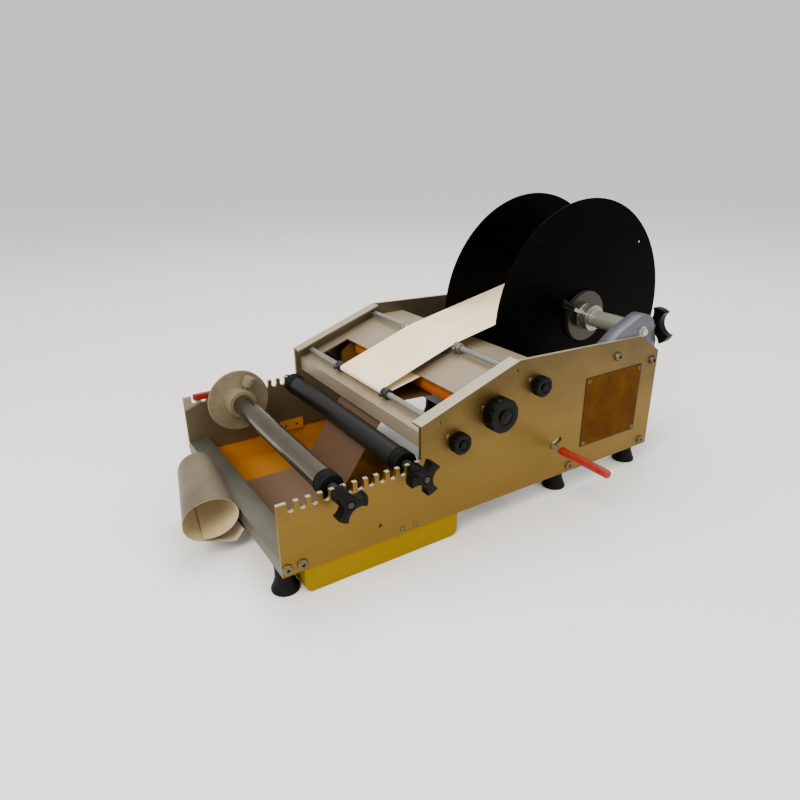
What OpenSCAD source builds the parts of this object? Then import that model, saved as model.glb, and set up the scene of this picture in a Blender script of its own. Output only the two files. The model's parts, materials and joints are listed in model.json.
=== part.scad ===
// Tabletop bottle labeling machine.
// Rollers at the front cradle a bottle, a sloped table feeds the label web
// from a reel between two large discs, and a driven roller under the table
// pulls the stripped liner down and out at the front.

/* [Frame] */
// Width over the two side plates
body_w = 360; // [340:1:400]
// Length of a side plate
plate_len = 600; // [600:1:640]
// Thickness of a side plate
plate_t = 5; // [4:0.5:6]
// Height of the low front part of a side plate
low_h = 90; // [86:1:94]
// Distance from the front edge to the step
step_y = 181; // [179:1:186]
// Height of the side plate at the step
step_h = 134; // [130:1:138]
// Distance from the front edge to the ridge
ridge_y = 328; // [322:1:334]
// Height of the side plate at the ridge
ridge_h = 186; // [182:1:190]
// Distance from the front edge to the rear corner of the top edge
rear_top_y = 556; // [550:1:560]
// Height of the rear corner of the top edge
rear_top_h = 178; // [175:1:180]
// Height of the rear edge
rear_h = 150; // [145:1:160]
// Width of the flange bent in along the slope
flange_w = 19; // [12:1:22]
// Thickness of the bent flange
flange_t = 3; // [2:0.5:4]
// Height of the side plates over the ground
foot_h = 34; // [34:1:42]

/* [Notches] */
// Number of axle notches in each side plate
notch_count = 12; // [12:1:12]
// Distance from one notch to the next
notch_pitch = 14; // [13.6:0.1:14]
// Distance from the front edge to the first notch
notch_first = 16; // [14:1:18]
// Depth of a notch down to the axle centre
notch_depth = 7.7; // [7:0.1:10]
// Number of the notch that holds the front roller, counted from zero
front_notch = 4; // [3:1:5]

/* [Rollers] */
// Radius of a roller tube
tube_r = 14.5; // [13:0.5:16]
// Wall of a roller tube
tube_wall = 2; // [1.5:0.5:3]
// Gap from a roller tube's end to the side plate
tube_gap = 29; // [26:0.5:34]
// Radius of a roller axle
axle_r = 4; // [3.5:0.5:4]
// Reach of the roller axles past the left plate
axle_out = 15; // [13:1:18]
// Radius of the bottle stop disc
stop_r = 46; // [30:1:46]

/* [Table] */
// Depth of the table under the top edge of the slope
recess = 18; // [17:0.5:19]
// Thickness of the table sheet
table_t = 2; // [1.5:0.5:2]
// Length of the flat table part behind the ridge
table_flat = 56; // [45:1:58]
// Width of table left between the window and each side plate
window_side = 25; // [23:1:35]
// Front end of the window, measured along the slope
window_from = 27; // [25:1:30]
// Rear end of the window, measured along the slope
window_to = 79; // [79:1:84]
// Radius of a guide rod
rod_r = 4; // [3:0.5:4.5]
// Depth of the guide rods under the top edge of the slope
rod_depth = 10; // [9.5:0.25:10.5]

/* [Web] */
// Width of the label web
web_w = 114; // [90:1:116]
// Thickness of the label web
web_t = 0.4; // [0.3:0.1:0.5]
// Half height of the curl of spent liner in front of the machine, at its right end
curl_r = 27.5; // [25:0.5:28]

/* [Drive] */
// Radius of the drive roller
drive_r = 18; // [16:0.5:18.5]
// Radius of the nip roller
nip_r = 15; // [12:0.5:15]
// Radius of the exit roller
exit_r = 9; // [8:0.5:10]
// Module of the gear teeth
gear_mod = 1.25; // [1.1:0.05:1.3]
// Teeth of the drive gear
drive_teeth = 30; // [28:1:30]
// Teeth of the idler gear
idler_teeth = 30; // [28:1:30]
// Teeth of the motor pinion
pinion_teeth = 14; // [12:1:16]
// Radius of the gearmotor
motor_r = 25; // [20:1:26]
// Gap from the gearmotor's end to the nip frame
motor_gap = 4; // [2:0.5:16]
// Reach of the release lever past the right plate
lever_out = 98; // [70:1:110]

/* [Reel] */
// Radius of a reel disc
disc_r = 174.5; // [150:0.5:174.5]
// Thickness of a reel disc
disc_t = 3.2; // [2:0.1:4]
// Height of the spindle over the bottom of the side plates
spindle_h = 182; // [181:0.5:186]
// Distance from the front edge to the spindle
spindle_y = 565; // [565:0.5:568]
// Radius of the spindle tube
spindle_r = 13; // [11:0.5:15]
// Radius of a hub collar
collar_r = 38.8; // [34:0.1:44]
// Outer radius of what is left of the label roll
roll_r = 46; // [42:1:90]
// Thickness of a reel arm
arm_t = 20; // [10:1:20]

/* [Knobs] */
// Radius of a three lobed clamp knob
clamp_r = 21; // [18:0.5:23]
// Radius of the large drive knob
big_knob_r = 22; // [18:0.5:24]
// Radius of a small shaft knob
small_knob_r = 13.5; // [11:0.5:15]

/* [Base tray] */
// Height of the tray wall
tray_h = 33; // [28:0.5:33]
// Distance from the front edge to the tray
tray_y = 27; // [26.5:0.5:30]
// Length of the tray
tray_len = 211; // [180:1:240]

/* [Hidden] */
$fn = 64;

// Shared clearances
cut = 1;
run_gap = 0.06;
fit_gap = 0.2;
seat_gap = 0.3;
pass_gap = 1;
half_turn = 180;

// Frame values
half_w = body_w / 2;
in_w = half_w - plate_t;
slope_run = ridge_y - step_y;
slope_rise = ridge_h - step_h;
slope_angle = atan2(slope_rise, slope_run);
slope_len = norm([slope_run, slope_rise]);
bar_h = 19;
front_bar_d = 30;
middle_bar_d = 24;
middle_bar_y = 421;
rear_bracket_y = 572;
rear_bracket_d = 26;
rear_bracket_t = 3;
rear_bracket_h = 18;
foot_r = 16.5;
foot_top_r = 11;
foot_rim_h = 4;
foot_flare_h = 18;
foot_inset = 25;
foot_recess_r = 8;
foot_recess_h = 8;

// Bolts of the frame
bolt_r = 3;
bolt_head_r = 6.6;
bolt_head_h = 3.6;
bolt_h = bar_h / 2;
bolt_len = 16;
rear_bolt_len = plate_t + rear_bracket_t;
front_bolt_near = 6;
front_bolt_far = 24;
foot_x = half_w - foot_inset;
front_foot_y = 11;
middle_foot_y = middle_bar_y + middle_bar_d / 2;
rear_foot_y = rear_bracket_y + rear_bracket_d / 2;
foot_bolt_len = 14;

// Small screws
screw_r = 2;
screw_head_r = 3.4;
screw_head_h = 1.8;
screw_grip = 4;

// Notches and roller axles
notch_r = axle_r + seat_gap;
axle_h = low_h - notch_depth;
front_axle = [notch_first + front_notch * notch_pitch, axle_h];
rear_axle = [notch_first + (notch_count - 1) * notch_pitch, axle_h];
tube_half = in_w - tube_gap;
cap_r = tube_r + 1;
cap_len = 18;
cap_plug = 10;
spacer_r = 6.5;
nut_r = 8;
nut_t = 6.5;
knob_boss_r = 9;
knob_boss_len = 16;
knob_t = 13;
knob_waist_r = 8;
knob_scoop_r = 14.5;
front_knob_turn = 0;
rear_knob_turn = 53;
axle_in_knob = 9;
stop_in = 2;
stop_t = 4;
stop_hub_r = 21;
stop_hub_len = 18;
stop_screw_r = 2.5;
stop_screw_head_r = 8;
stop_screw_head_h = 16;
stop_screw_lift = 5;
stop_screw_lean = 25;

// Table, guide rods and collars
nose_h = 20;
nose_at = 3;
flat_end = ridge_y + table_flat;
front_rod_at = 22;
rear_rod_at = 146;
guide_collar_r = 7;
guide_collar_len = 12;
guide_screw_r = 1.6;
guide_screw_len = 4;
lug_h = 12;
lug_front_from = 5;
lug_front_to = 19;
lug_mid_from = 63;
lug_mid_to = 77;
lug_rear_len = 5;
window_half = in_w - window_side;
sensor_w = 28;
sensor_d = 8;
sensor_h = 14;
sensor_slot = 3;

// Shafts and rollers under the table
drive_axis = [289, 128];
drive_shaft_r = 6;
drive_gap = 35;
drive_half = in_w - drive_gap;
exit_axis = [232, 103];
shaft_r = 5;
exit_gap = 11;
exit_half = in_w - exit_gap;
pivot_axis = [360, 148];
nip_angle = -40;
nip_gap = 1;
nip_axis = drive_axis + (drive_r + nip_r + nip_gap) * [cos(nip_angle), sin(nip_angle)];
nip_axle_r = 4;
nip_arm_side = 16.5;
arm_x = web_w / 2 + nip_arm_side;
nip_arm_t = 5;
nip_end_gap = 5.5;
nip_half = arm_x - nip_end_gap;
nip_arm_r = 8;
tie_r = 4;
tie_axis = (nip_axis + pivot_axis) / 2;
lever_axis = [397, 50];
lever_r = 3;
lever_swing = 8;
sleeve_r = 5.6;
sleeve_from = 16;
slot_r = 4;
spring_wire = 1.6;
spring_r = shaft_r + seat_gap + spring_wire / 2;
spring_turns = 8;
spring_pitch = 2.1;
spring_side = 5.5;
spring_x = arm_x + nip_arm_t + spring_side;
spring_sides = 6;
spring_steps = 12;

// Bearing blocks
block_flange_t = 5;
block_rim = 1.5;
block_spigot_r = 10;
small_block_r = 15;
drive_block_r = 20;
screw_pad_r = 5;
small_screw_offset = [-12, 8.5];
drive_screw_offset = [-16, 8];

// Gear train
gear_t = 10;
gear_gap = 1;
gear_x = in_w - block_flange_t - gear_gap;
idler_angle = -35;
pinion_angle = 0;
drive_pitch_r = gear_mod * drive_teeth / 2;
idler_pitch_r = gear_mod * idler_teeth / 2;
pinion_pitch_r = gear_mod * pinion_teeth / 2;
idler_axis = drive_axis
    + (drive_pitch_r + idler_pitch_r) * [cos(idler_angle), sin(idler_angle)];
motor_axis = idler_axis
    + (idler_pitch_r + pinion_pitch_r) * [cos(pinion_angle), sin(pinion_angle)];
tip_share = 0.9;
root_share = 1.2;
tooth_share = 0.9;
tip_width_share = 0.5;
root_width_share = 1.35;
stud_r = 5;
pinion_shaft_r = 4;
bracket_t = 3;
bracket_gap = 1.5;
bracket_x = gear_x - gear_t - bracket_gap;
post_r = 4;
posts = [[262, 112], [268, 90], [378, 90], [378, 130]];
bracket_margin = 8;
bracket_shoulder = [276, 138];
motor_len = bracket_x - bracket_t - arm_x - nip_arm_t - motor_gap;
motor_neck = 2;
motor_boss_r = 12;
motor_boss_len = 4;
motor_shaft_depth = 5;

// Shaft knobs
big_knob_gap = 4;
big_knob_x = half_w + big_knob_gap;
big_knob_t = 18;
big_scallop_r = 3;
big_scallops = 12;
small_knob_gap = 2.5;
small_knob_x = half_w + small_knob_gap;
small_knob_t = 12;
small_scallop_r = 2;
small_scallops = 8;
dial_r_share = 0.45;
dial_t = 1.5;

// Reel
spindle_axis = [spindle_y, spindle_h];
web_side = 1.5;
disc_x = web_w / 2 + web_side;
disc_hole_r = 3;
disc_hole_at = 155;
disc_hole_turn = 41;
spigot_r = 20;
collar_t = 8;
hub_boss_r = 20;
hub_boss_len = 17;
mandrel_r = 37.8;
mandrel_wall = 4;
core_r = mandrel_r + seat_gap;
roll_side = 0.5;
journal_r = 8;
arm_round_r = 25;
arm_tip = [486, 167];
arm_bend = [518, 189];
arm_foot_front = 497;
arm_foot_rear = 597;
arm_foot_h = 122;
arm_rear_h = 165;
arm_screw_front = [511, 156.6];
arm_screw_rear = [588, 137];
arm_screw_r = 4;
arm_screw_head_r = 6.5;
arm_screw_head_h = 5;
end_screw_r = 5.5;
end_screw_t = 4;
end_washer_r = 8;
end_washer_t = 0.7;
hub_screw_angle = 154;
hub_screw_r = 3;
hub_grip_r = 7;
hub_grip_from = 46;
hub_grip_to = 74;
brake_stem_r = 4;
brake_stem_in = 6;
brake_gap = 12;
brake_y = spindle_y + arm_round_r + brake_gap;
brake_t = 12;
brake_lobe_r = 27;
brake_waist_r = 10;
brake_scoop_r = 17.5;
brake_knob_turn = -78;

// Web path
web_off = web_t / 2 + seat_gap;
front_rod_axis = on_slope(front_rod_at, rod_depth);
rear_rod_axis = on_slope(rear_rod_at, rod_depth);
arc_step = 12;
liner_h = -6;
liner_flat_from = 112;
sag_points = 14;

// Curl of the liner: a fold in front of the bar, then an oval at each end
fold_right = [-12, -20];
fold_left = [-8, -8];
curl_low_gap = 6;
curl_right_half = 35;
curl_right_axis = [-37.5, curl_r - curl_low_gap];
curl_left_r = 25;
curl_left_axis = [-21.5, 33];
curl_turn = 300;
curl_in_share = 0.06;
curl_points = 33;

// Base tray
tray_wall = 1.5;
tray_top = 1;
tray_round = 9;
tray_side = 2;
tray_slot_h = 11;
tray_slot_side = 5;
tray_slot_half = web_w / 2 + tray_slot_side;
tab_h = 16;
tab_len = 40;
tab_y = 145;
tab_screws = [155, 174];
tab_screw_h = 6;

// Name panel, edge clip and electrics
panel_y = 452;
panel_w = 113;
panel_z = 33;
panel_h = 103;
panel_t = 1;
panel_edge = 5;
clip_y = 15;
clip_len = 27;
clip_t = 1.6;
clip_h = 9;
small_hole_r = 2.6;
small_hole = [123.5, 22.4];
box_y = 450;
box_inset = 18;
box_len = 96;
box_z = 24;
box_h = 72;
box_d = 62;
box_lid_t = 2;
box_gap = 0.5;
inlet_y = box_y + box_inset;
inlet_w = 28;
inlet_z = 46;
inlet_h = 22;
inlet_lip = 2;
inlet_pin_w = 2;
inlet_pin_d = 4;
switch_gap = 18;
switch_y = inlet_y + inlet_w + switch_gap;
switch_w = 15;
switch_z = 46;
switch_h = 22;
switch_d = 14;
rocker_tilt = 8;
rocker_r = 10.4;
rocker_in = 4;
rocker_tip_angle = 48;
rocker_back_angle = 74;
rocker_valley = 4.5;
rocker_pin_r = 1.5;
rocker_pin_out = 0.2;

// A point at a distance along the slope and a depth under it
function on_slope(along, deep) = [
    step_y + along * cos(slope_angle) + deep * sin(slope_angle),
    step_h + along * sin(slope_angle) - deep * cos(slope_angle)
];

// Direction of the common tangent of two circles, as the normal on its web side
function tangent_dir(c1, r1, c2, r2, side) =
    let (d = c2 - c1, b = atan2(d[1], d[0]), a = acos((r1 - r2) / norm(d)))
    b + side * a;

function polar(c, r, a) = c + r * [cos(a), sin(a)];

// Points of an arc from one angle to another
function arc_points(c, r, a1, a2, step) =
    let (n = max(1, ceil(abs(a2 - a1) / step)))
    [for (i = [0:n]) polar(c, r, a1 + (a2 - a1) * i / n)];

// Outline of a thin strip that follows a line of points
function side_dir(pts, i) =
    let (
        a = pts[max(0, i - 1)],
        b = pts[min(len(pts) - 1, i + 1)],
        d = (b - a) / norm(b - a)
    )
    [-d[1], d[0]];
function strip_outline(pts, t) = concat(
    [for (i = [0:len(pts) - 1]) pts[i] + side_dir(pts, i) * t / 2],
    [for (i = [len(pts) - 1:-1:0]) pts[i] - side_dir(pts, i) * t / 2]
);

// Phase that makes a gear mesh with the one before it
function mesh_phase(dir, phase, teeth, next_teeth) =
    dir + half_turn - (0.5 - (dir - phase) * teeth / 360) * 360 / next_teeth;

// The machine stands on the ground with its bottom centre at the origin
module in_frame() {
    translate([-mid_x, -mid_y, foot_h]) children();
}

// Extrudes an outline drawn in length and height along the width
module yz(x, t) {
    translate([x, 0, 0]) rotate([90, 0, 90]) linear_extrude(height = t) children();
}

// A round bar across the width
module bar_x(p, x, l, r) {
    translate([x, p[0], p[1]]) rotate([0, 90, 0]) cylinder(h = l, r = r);
}

// A round tube across the width
module tube_x(p, x, l, r, bore) {
    difference() {
        bar_x(p, x, l, r);
        bar_x(p, x - cut, l + 2 * cut, bore);
    }
}

// A copy on each side of the machine
module both_sides() {
    children();
    mirror([1, 0, 0]) children();
}

// A block given by its corner and size
module block(x, y, z, dx, dy, dz) {
    translate([x, y, z]) cube([dx, dy, dz]);
}

// Places its children in slope axes, with y along the slope and z square to it
module at_slope(along, deep) {
    p = on_slope(along, deep);
    translate([0, p[0], p[1]]) rotate([slope_angle, 0, 0]) children();
}

// A screw across the width, its head outside the right plate
module side_screw(p, x, head_r, head_h, r, l) {
    bar_x(p, x, head_h, head_r);
    bar_x(p, x - l, l + cut / 2, r);
}

module gear_outline(teeth, phase) {
    pitch_r = gear_mod * teeth / 2;
    tip = pitch_r + gear_mod * tip_share;
    root = pitch_r - gear_mod * root_share;
    half = 90 / teeth * tooth_share;
    polygon([
        for (i = [0:teeth - 1])
            for (c = [
                [root, -root_width_share], [tip, -tip_width_share],
                [tip, tip_width_share], [root, root_width_share]
            ])
                polar([0, 0], c[0], phase + 360 * i / teeth + c[1] * half)
    ]);
}

module lobed_outline(r, waist, scoop) {
    difference() {
        circle(r = r);
        for (a = [0:120:240])
            rotate(a + 60) translate([waist + scoop, 0]) circle(r = scoop);
    }
}

module scalloped_outline(r, scallop, count) {
    difference() {
        circle(r = r);
        for (i = [0:count - 1])
            rotate(360 * i / count) translate([r + scallop / 2, 0]) circle(r = scallop);
    }
}

// Screw places on the right plate
block_screws = [
    exit_axis + small_screw_offset, exit_axis - small_screw_offset,
    drive_axis + drive_screw_offset, drive_axis - drive_screw_offset,
    pivot_axis + small_screw_offset, pivot_axis - small_screw_offset
];
panel_screws = [
    for (y = [panel_y + panel_edge, panel_y + panel_w - panel_edge])
        for (z = [panel_z + panel_edge, panel_z + panel_h - panel_edge]) [y, z]
];

module notches() {
    for (i = [0:notch_count - 1])
        translate([notch_first + i * notch_pitch, axle_h]) {
            circle(r = notch_r);
            translate([-notch_r, 0]) square([2 * notch_r, notch_depth + cut]);
        }
}

module plate_outline() {
    difference() {
        polygon([
            [0, 0], [plate_len, 0], [plate_len, rear_h], [rear_top_y, rear_top_h],
            [ridge_y, ridge_h], [step_y, step_h], [step_y, low_h], [0, low_h]
        ]);
        notches();
        for (p = [
            [front_bolt_near, bolt_h], [front_bolt_far, bolt_h],
            [middle_foot_y, bolt_h], [rear_foot_y, bolt_h]
        ])
            translate(p) circle(r = bolt_r + fit_gap);
        for (p = [exit_axis, drive_axis, pivot_axis])
            translate(p) circle(r = block_spigot_r + run_gap);
        for (p = [front_rod_axis, rear_rod_axis])
            translate(p) circle(r = rod_r + run_gap);
        for (p = block_screws)
            translate(p) circle(r = screw_r + fit_gap);
        for (p = [arm_screw_front, arm_screw_rear])
            translate(p) circle(r = arm_screw_r + fit_gap);
        for (y = tab_screws)
            translate([y, tab_screw_h]) circle(r = screw_r + fit_gap);
        translate(small_hole) circle(r = small_hole_r);
    }
}

function lever_at(a) =
    let (v = lever_axis - pivot_axis)
    pivot_axis + [v[0] * cos(a) - v[1] * sin(a), v[0] * sin(a) + v[1] * cos(a)];

module lever_slot_outline() {
    from = lever_at(0);
    to = lever_at(lever_swing);
    run = to - from;
    translate(from) rotate(atan2(run[1], run[0])) {
        circle(r = slot_r);
        translate([norm(run), 0]) circle(r = slot_r);
        translate([0, -slot_r]) square([norm(run), 2 * slot_r]);
    }
}

module slope_flange() {
    at_slope(0, 0)
        block(in_w - flange_w + plate_t, 0, -flange_t, flange_w, slope_len, flange_t);
}

module side_plate_right() {
    color("tan") in_frame() {
        difference() {
            yz(in_w, plate_t) plate_outline();
            yz(in_w - cut, plate_t + 2 * cut) {
                lever_slot_outline();
                for (p = panel_screws) translate(p) circle(r = screw_r + fit_gap);
            }
        }
        slope_flange();
    }
}

module side_plate_left() {
    color("tan") in_frame() {
        difference() {
            yz(-half_w, plate_t) plate_outline();
            yz(-half_w - cut, plate_t + 2 * cut) {
                translate([inlet_y, inlet_z]) square([inlet_w, inlet_h]);
                translate([switch_y, switch_z]) square([switch_w, switch_h]);
                for (p = posts) translate(p) circle(r = screw_r + fit_gap);
            }
        }
        mirror([1, 0, 0]) slope_flange();
    }
}

module front_cross_bar() {
    color("silver") in_frame() difference() {
        block(-in_w, 0, 0, 2 * in_w, front_bar_d, bar_h);
        both_sides() {
            for (y = [front_bolt_near, front_bolt_far])
                bar_x([y, bolt_h], in_w - bolt_len, bolt_len + cut, bolt_r + fit_gap);
            translate([foot_x, front_foot_y, -cut])
                cylinder(h = foot_bolt_len + cut, r = bolt_r + fit_gap);
        }
    }
}

module middle_cross_bar() {
    color("silver") in_frame() difference() {
        block(-in_w, middle_bar_y, 0, 2 * in_w, middle_bar_d, bar_h);
        both_sides() {
            bar_x([middle_foot_y, bolt_h], in_w - bolt_len, bolt_len + cut, bolt_r + fit_gap);
            translate([foot_x, middle_foot_y, -cut])
                cylinder(h = foot_bolt_len + cut, r = bolt_r + fit_gap);
        }
    }
}

module rear_foot_brackets() {
    color("silver") in_frame() both_sides() difference() {
        union() {
            block(
                in_w - rear_bracket_t, rear_bracket_y, 0,
                rear_bracket_t, rear_bracket_d, rear_bracket_h
            );
            block(
                foot_x - foot_r, rear_bracket_y, 0,
                in_w - foot_x + foot_r, rear_bracket_d, rear_bracket_t
            );
        }
        bar_x([rear_foot_y, bolt_h], in_w - 2 * rear_bracket_t, 3 * rear_bracket_t, bolt_r + fit_gap);
        translate([foot_x, rear_foot_y, -cut])
            cylinder(h = rear_bracket_t + 2 * cut, r = bolt_r + fit_gap);
    }
}

module rubber_feet() {
    color("#151515") in_frame() both_sides()
        for (y = [front_foot_y, middle_foot_y, rear_foot_y])
            translate([foot_x, y, -foot_h]) difference() {
                union() {
                    cylinder(h = foot_rim_h, r = foot_r);
                    translate([0, 0, foot_rim_h])
                        cylinder(h = foot_flare_h - foot_rim_h, r1 = foot_r, r2 = foot_top_r);
                    cylinder(h = foot_h, r = foot_top_r);
                }
                translate([0, 0, -cut])
                    cylinder(h = foot_recess_h + cut, r = foot_recess_r);
                cylinder(h = foot_h + cut, r = bolt_r + fit_gap);
            }
}

module foot_bolt(up) {
    translate([0, 0, -foot_h + foot_recess_h - bolt_head_h])
        cylinder(h = bolt_head_h, r = bolt_head_r);
    translate([0, 0, -foot_h + foot_recess_h - cut])
        cylinder(h = foot_h - foot_recess_h + up + cut, r = bolt_r);
}

module frame_bolts() {
    color("gainsboro") in_frame() both_sides() {
        for (y = [front_bolt_near, front_bolt_far])
            side_screw([y, bolt_h], half_w, bolt_head_r, bolt_head_h, bolt_r, bolt_len);
        side_screw([middle_foot_y, bolt_h], half_w, bolt_head_r, bolt_head_h, bolt_r, bolt_len);
        side_screw([rear_foot_y, bolt_h], half_w, bolt_head_r, bolt_head_h, bolt_r, rear_bolt_len);
        for (y = [front_foot_y, middle_foot_y])
            translate([foot_x, y, 0]) foot_bolt(foot_bolt_len - cut);
        translate([foot_x, rear_foot_y, 0]) foot_bolt(rear_bracket_t);
    }
}

// Side view of the tray, with its two lower corners rounded
module tray_outline(inset) {
    l = tray_len - 2 * inset;
    r = tray_round - inset;
    h = tray_h - tray_top + (inset > 0 ? cut : 0);
    translate([tray_y + inset, -tray_h]) translate([0, inset]) {
        translate([r, r]) circle(r = r);
        translate([l - r, r]) circle(r = r);
        translate([r, 0]) square([l - 2 * r, h]);
        translate([0, r]) square([l, h - r]);
    }
}

module base_tray() {
    w = half_w - tray_side;
    color("#b8960c") in_frame() {
        difference() {
            yz(-w, 2 * w) tray_outline(0);
            yz(-w + tray_wall, 2 * (w - tray_wall)) tray_outline(tray_wall);
            block(
                -tray_slot_half, tray_y - cut, -tray_slot_h - tray_top,
                2 * tray_slot_half, 2 * tray_wall + cut, tray_slot_h + 2 * cut
            );
        }
        both_sides() difference() {
            union() {
                block(
                    in_w - fit_gap - tray_wall, tab_y, -tray_top - tray_wall,
                    tray_wall, tab_len, tab_h + tray_top + tray_wall
                );
                block(
                    in_w - fit_gap - tray_wall, tab_y, -tray_top - tray_wall,
                    w - in_w + fit_gap + tray_wall, tab_len, tray_wall
                );
            }
            for (y = tab_screws)
                bar_x([y, tab_screw_h], in_w - 2 * plate_t, 3 * plate_t, screw_r + fit_gap);
        }
    }
}

// Side view of the bent table sheet
module table_outline() {
    a = on_slope(nose_at, recess);
    u = on_slope(nose_at, recess + table_t);
    ridge_top = [ridge_y, ridge_h - recess / cos(slope_angle)];
    t_up = table_t / cos(slope_angle);
    polygon([
        a, ridge_top, [flat_end, ridge_top[1]], [flat_end, ridge_top[1] - t_up],
        [ridge_y, ridge_top[1] - t_up],
        [a[0] + table_t, a[1] + table_t * tan(slope_angle) - t_up],
        [a[0] + table_t, a[1] - nose_h], [a[0], a[1] - nose_h]
    ]);
}

module table_lugs() {
    x = in_w - fit_gap - table_t;
    for (s = [[lug_front_from, lug_front_to], [lug_mid_from, lug_mid_to]])
        at_slope(s[0], recess)
            block(x, 0, -table_t - lug_h, table_t, s[1] - s[0], lug_h + table_t);
    block(
        x, flat_end - lug_rear_len, ridge_h - recess / cos(slope_angle) - table_t - lug_h,
        table_t, lug_rear_len, lug_h + table_t
    );
}

module table_bed() {
    w = in_w - fit_gap;
    color("#c9c2b4") in_frame() difference() {
        union() {
            yz(-w, 2 * w) table_outline();
            both_sides() table_lugs();
        }
        at_slope(window_from, recess)
            block(
                -window_half, 0, -table_t - cut,
                2 * window_half, window_to - window_from, table_t + 2 * cut
            );
    }
}

module guide_rods() {
    color("silver") in_frame()
        for (p = [front_rod_axis, rear_rod_axis])
            bar_x(p, -half_w + cut, 2 * (half_w - cut), rod_r);
}

module guide_collar(p, side) {
    from = web_w / 2 + web_side;
    color("#3a3f3c") in_frame() mirror([side > 0 ? 0 : 1, 0, 0]) {
        tube_x(p, from, guide_collar_len, guide_collar_r, rod_r + run_gap);
        translate([from + guide_collar_len / 2, p[0], p[1]])
            rotate([90, 0, 0])
                translate([0, 0, rod_r + seat_gap])
                    cylinder(h = guide_collar_r - rod_r + guide_screw_len, r = guide_screw_r);
    }
}

module front_collar_right() {
    guide_collar(front_rod_axis, 1);
}

module front_collar_left() {
    guide_collar(front_rod_axis, -1);
}

module rear_collar_right() {
    guide_collar(rear_rod_axis, 1);
}

module rear_collar_left() {
    guide_collar(rear_rod_axis, -1);
}

module label_sensor() {
    color("#202020") in_frame() at_slope(nose_at + table_t + seat_gap, recess + table_t) difference() {
        block(-sensor_w / 2, 0, -sensor_h, sensor_w, sensor_d, sensor_h);
        block(
            -sensor_w / 2 - cut, sensor_d / 2, -sensor_h / 2 - sensor_slot / 2,
            sensor_w + 2 * cut, sensor_d / 2 + cut, sensor_slot
        );
    }
}

// The web leaves the top of the roll, runs over both rods, turns down round
// the front rod and goes back to the top of the drive roller
a_roll = tangent_dir(spindle_axis, roll_r + web_off, rear_rod_axis, rod_r + web_off, -1) + 360;
a_rods = tangent_dir(rear_rod_axis, rod_r + web_off, front_rod_axis, rod_r + web_off, -1) + 360;
a_peel = tangent_dir(front_rod_axis, rod_r + web_off, drive_axis, -drive_r - web_off, -1) + 360;
a_exit = tangent_dir(drive_axis, drive_r + web_off, exit_axis, -exit_r - web_off, 1);
web_path = concat(
    [polar(spindle_axis, roll_r + web_off, a_roll)],
    arc_points(rear_rod_axis, rod_r + web_off, a_roll, a_rods, arc_step),
    arc_points(front_rod_axis, rod_r + web_off, a_rods, a_peel, arc_step),
    arc_points(drive_axis, drive_r + web_off, a_peel - half_turn, nip_angle, arc_step)
);

module label_web() {
    color("#efe8d6") in_frame() yz(-web_w / 2, web_w)
        polygon(strip_outline(web_path, web_t));
}

// The stripped liner leaves the nip, goes over the exit roller, sinks to the
// height of the cross bar, folds in front of it and curls up. Its two edges
// curl by a different amount, so the sheet spans between two outlines.
exit_out = 200;
sag_from = polar(exit_axis, exit_r + web_off, exit_out);
sag_to = [liner_flat_from, liner_h];
liner_run = concat(
    arc_points(drive_axis, drive_r + web_off, nip_angle - 4, a_exit, arc_step),
    arc_points(exit_axis, exit_r + web_off, a_exit + half_turn, exit_out, arc_step),
    [
        for (i = [1:sag_points])
            let (t = i / sag_points, s = 0.5 - 0.5 * cos(half_turn * t))
            [sag_from[0] + (sag_to[0] - sag_from[0]) * t,
             sag_from[1] + (sag_to[1] - sag_from[1]) * s]
    ],
    [[0, liner_h]]
);
function curl_edge(fold, axis, half_l, half_h) =
    let (
        d = [(fold[0] - axis[0]) * half_h / half_l, fold[1] - axis[1]],
        start = atan2(d[1], d[0]) - acos(half_h / norm(d))
    )
    concat([fold], [
        for (i = [0:curl_points])
            let (t = i / curl_points, a = start - curl_turn * t, k = 1 - curl_in_share * t)
            axis + k * [half_l * cos(a), half_h * sin(a)]
    ]);
liner_right = concat(liner_run, curl_edge(fold_right, curl_right_axis, curl_right_half, curl_r));
liner_left = concat(liner_run, curl_edge(fold_left, curl_left_axis, curl_left_r, curl_left_r));

// Extents that put the origin at the bottom centre of the whole machine
front_reach = min([for (p = strip_outline(liner_right, web_t)) p[0]]);
rear_reach = spindle_y + disc_r;
mid_y = (front_reach + rear_reach) / 2;
mid_x = (lever_out - axle_out) / 2;

// A sheet spanned between the outlines of its left and right edges. Both its
// faces are split along the same diagonals, so they stay apart where it twists.
module spanned_sheet(left, right, x, w) {
    n = len(left);
    half = n / 2;
    ends = [for (i = [0:half - 2]) each [[i, n - 1 - i, i + 1], [n - 1 - i, n - 2 - i, i + 1]]];
    sides = [
        for (i = [0:n - 1])
            let (j = (i + 1) % n)
            each i < half
                ? [[i, j, n + i], [j, n + j, n + i]]
                : [[i, j, n + j], [i, n + j, n + i]]
    ];
    polyhedron(
        points = concat(
            [for (p = left) [x, p[0], p[1]]],
            [for (p = right) [x + w, p[0], p[1]]]
        ),
        faces = concat(ends, sides, [for (f = ends) [n + f[0], n + f[2], n + f[1]]])
    );
}

module liner_strip() {
    color("#ddd5c0") in_frame() spanned_sheet(
        strip_outline(liner_left, web_t), strip_outline(liner_right, web_t), -web_w / 2, web_w
    );
}

module roller_axles() {
    color("silver") in_frame()
        for (p = [front_axle, rear_axle])
            bar_x(
                p, -half_w - axle_out,
                2 * half_w + axle_out + cut + knob_boss_len + axle_in_knob, axle_r
            );
}

module axle_spacers() {
    x = tube_half + cap_len + seat_gap;
    color("gainsboro") in_frame() both_sides()
        for (p = [front_axle, rear_axle])
            tube_x(p, x, in_w - x, spacer_r, axle_r + run_gap);
}

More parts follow.
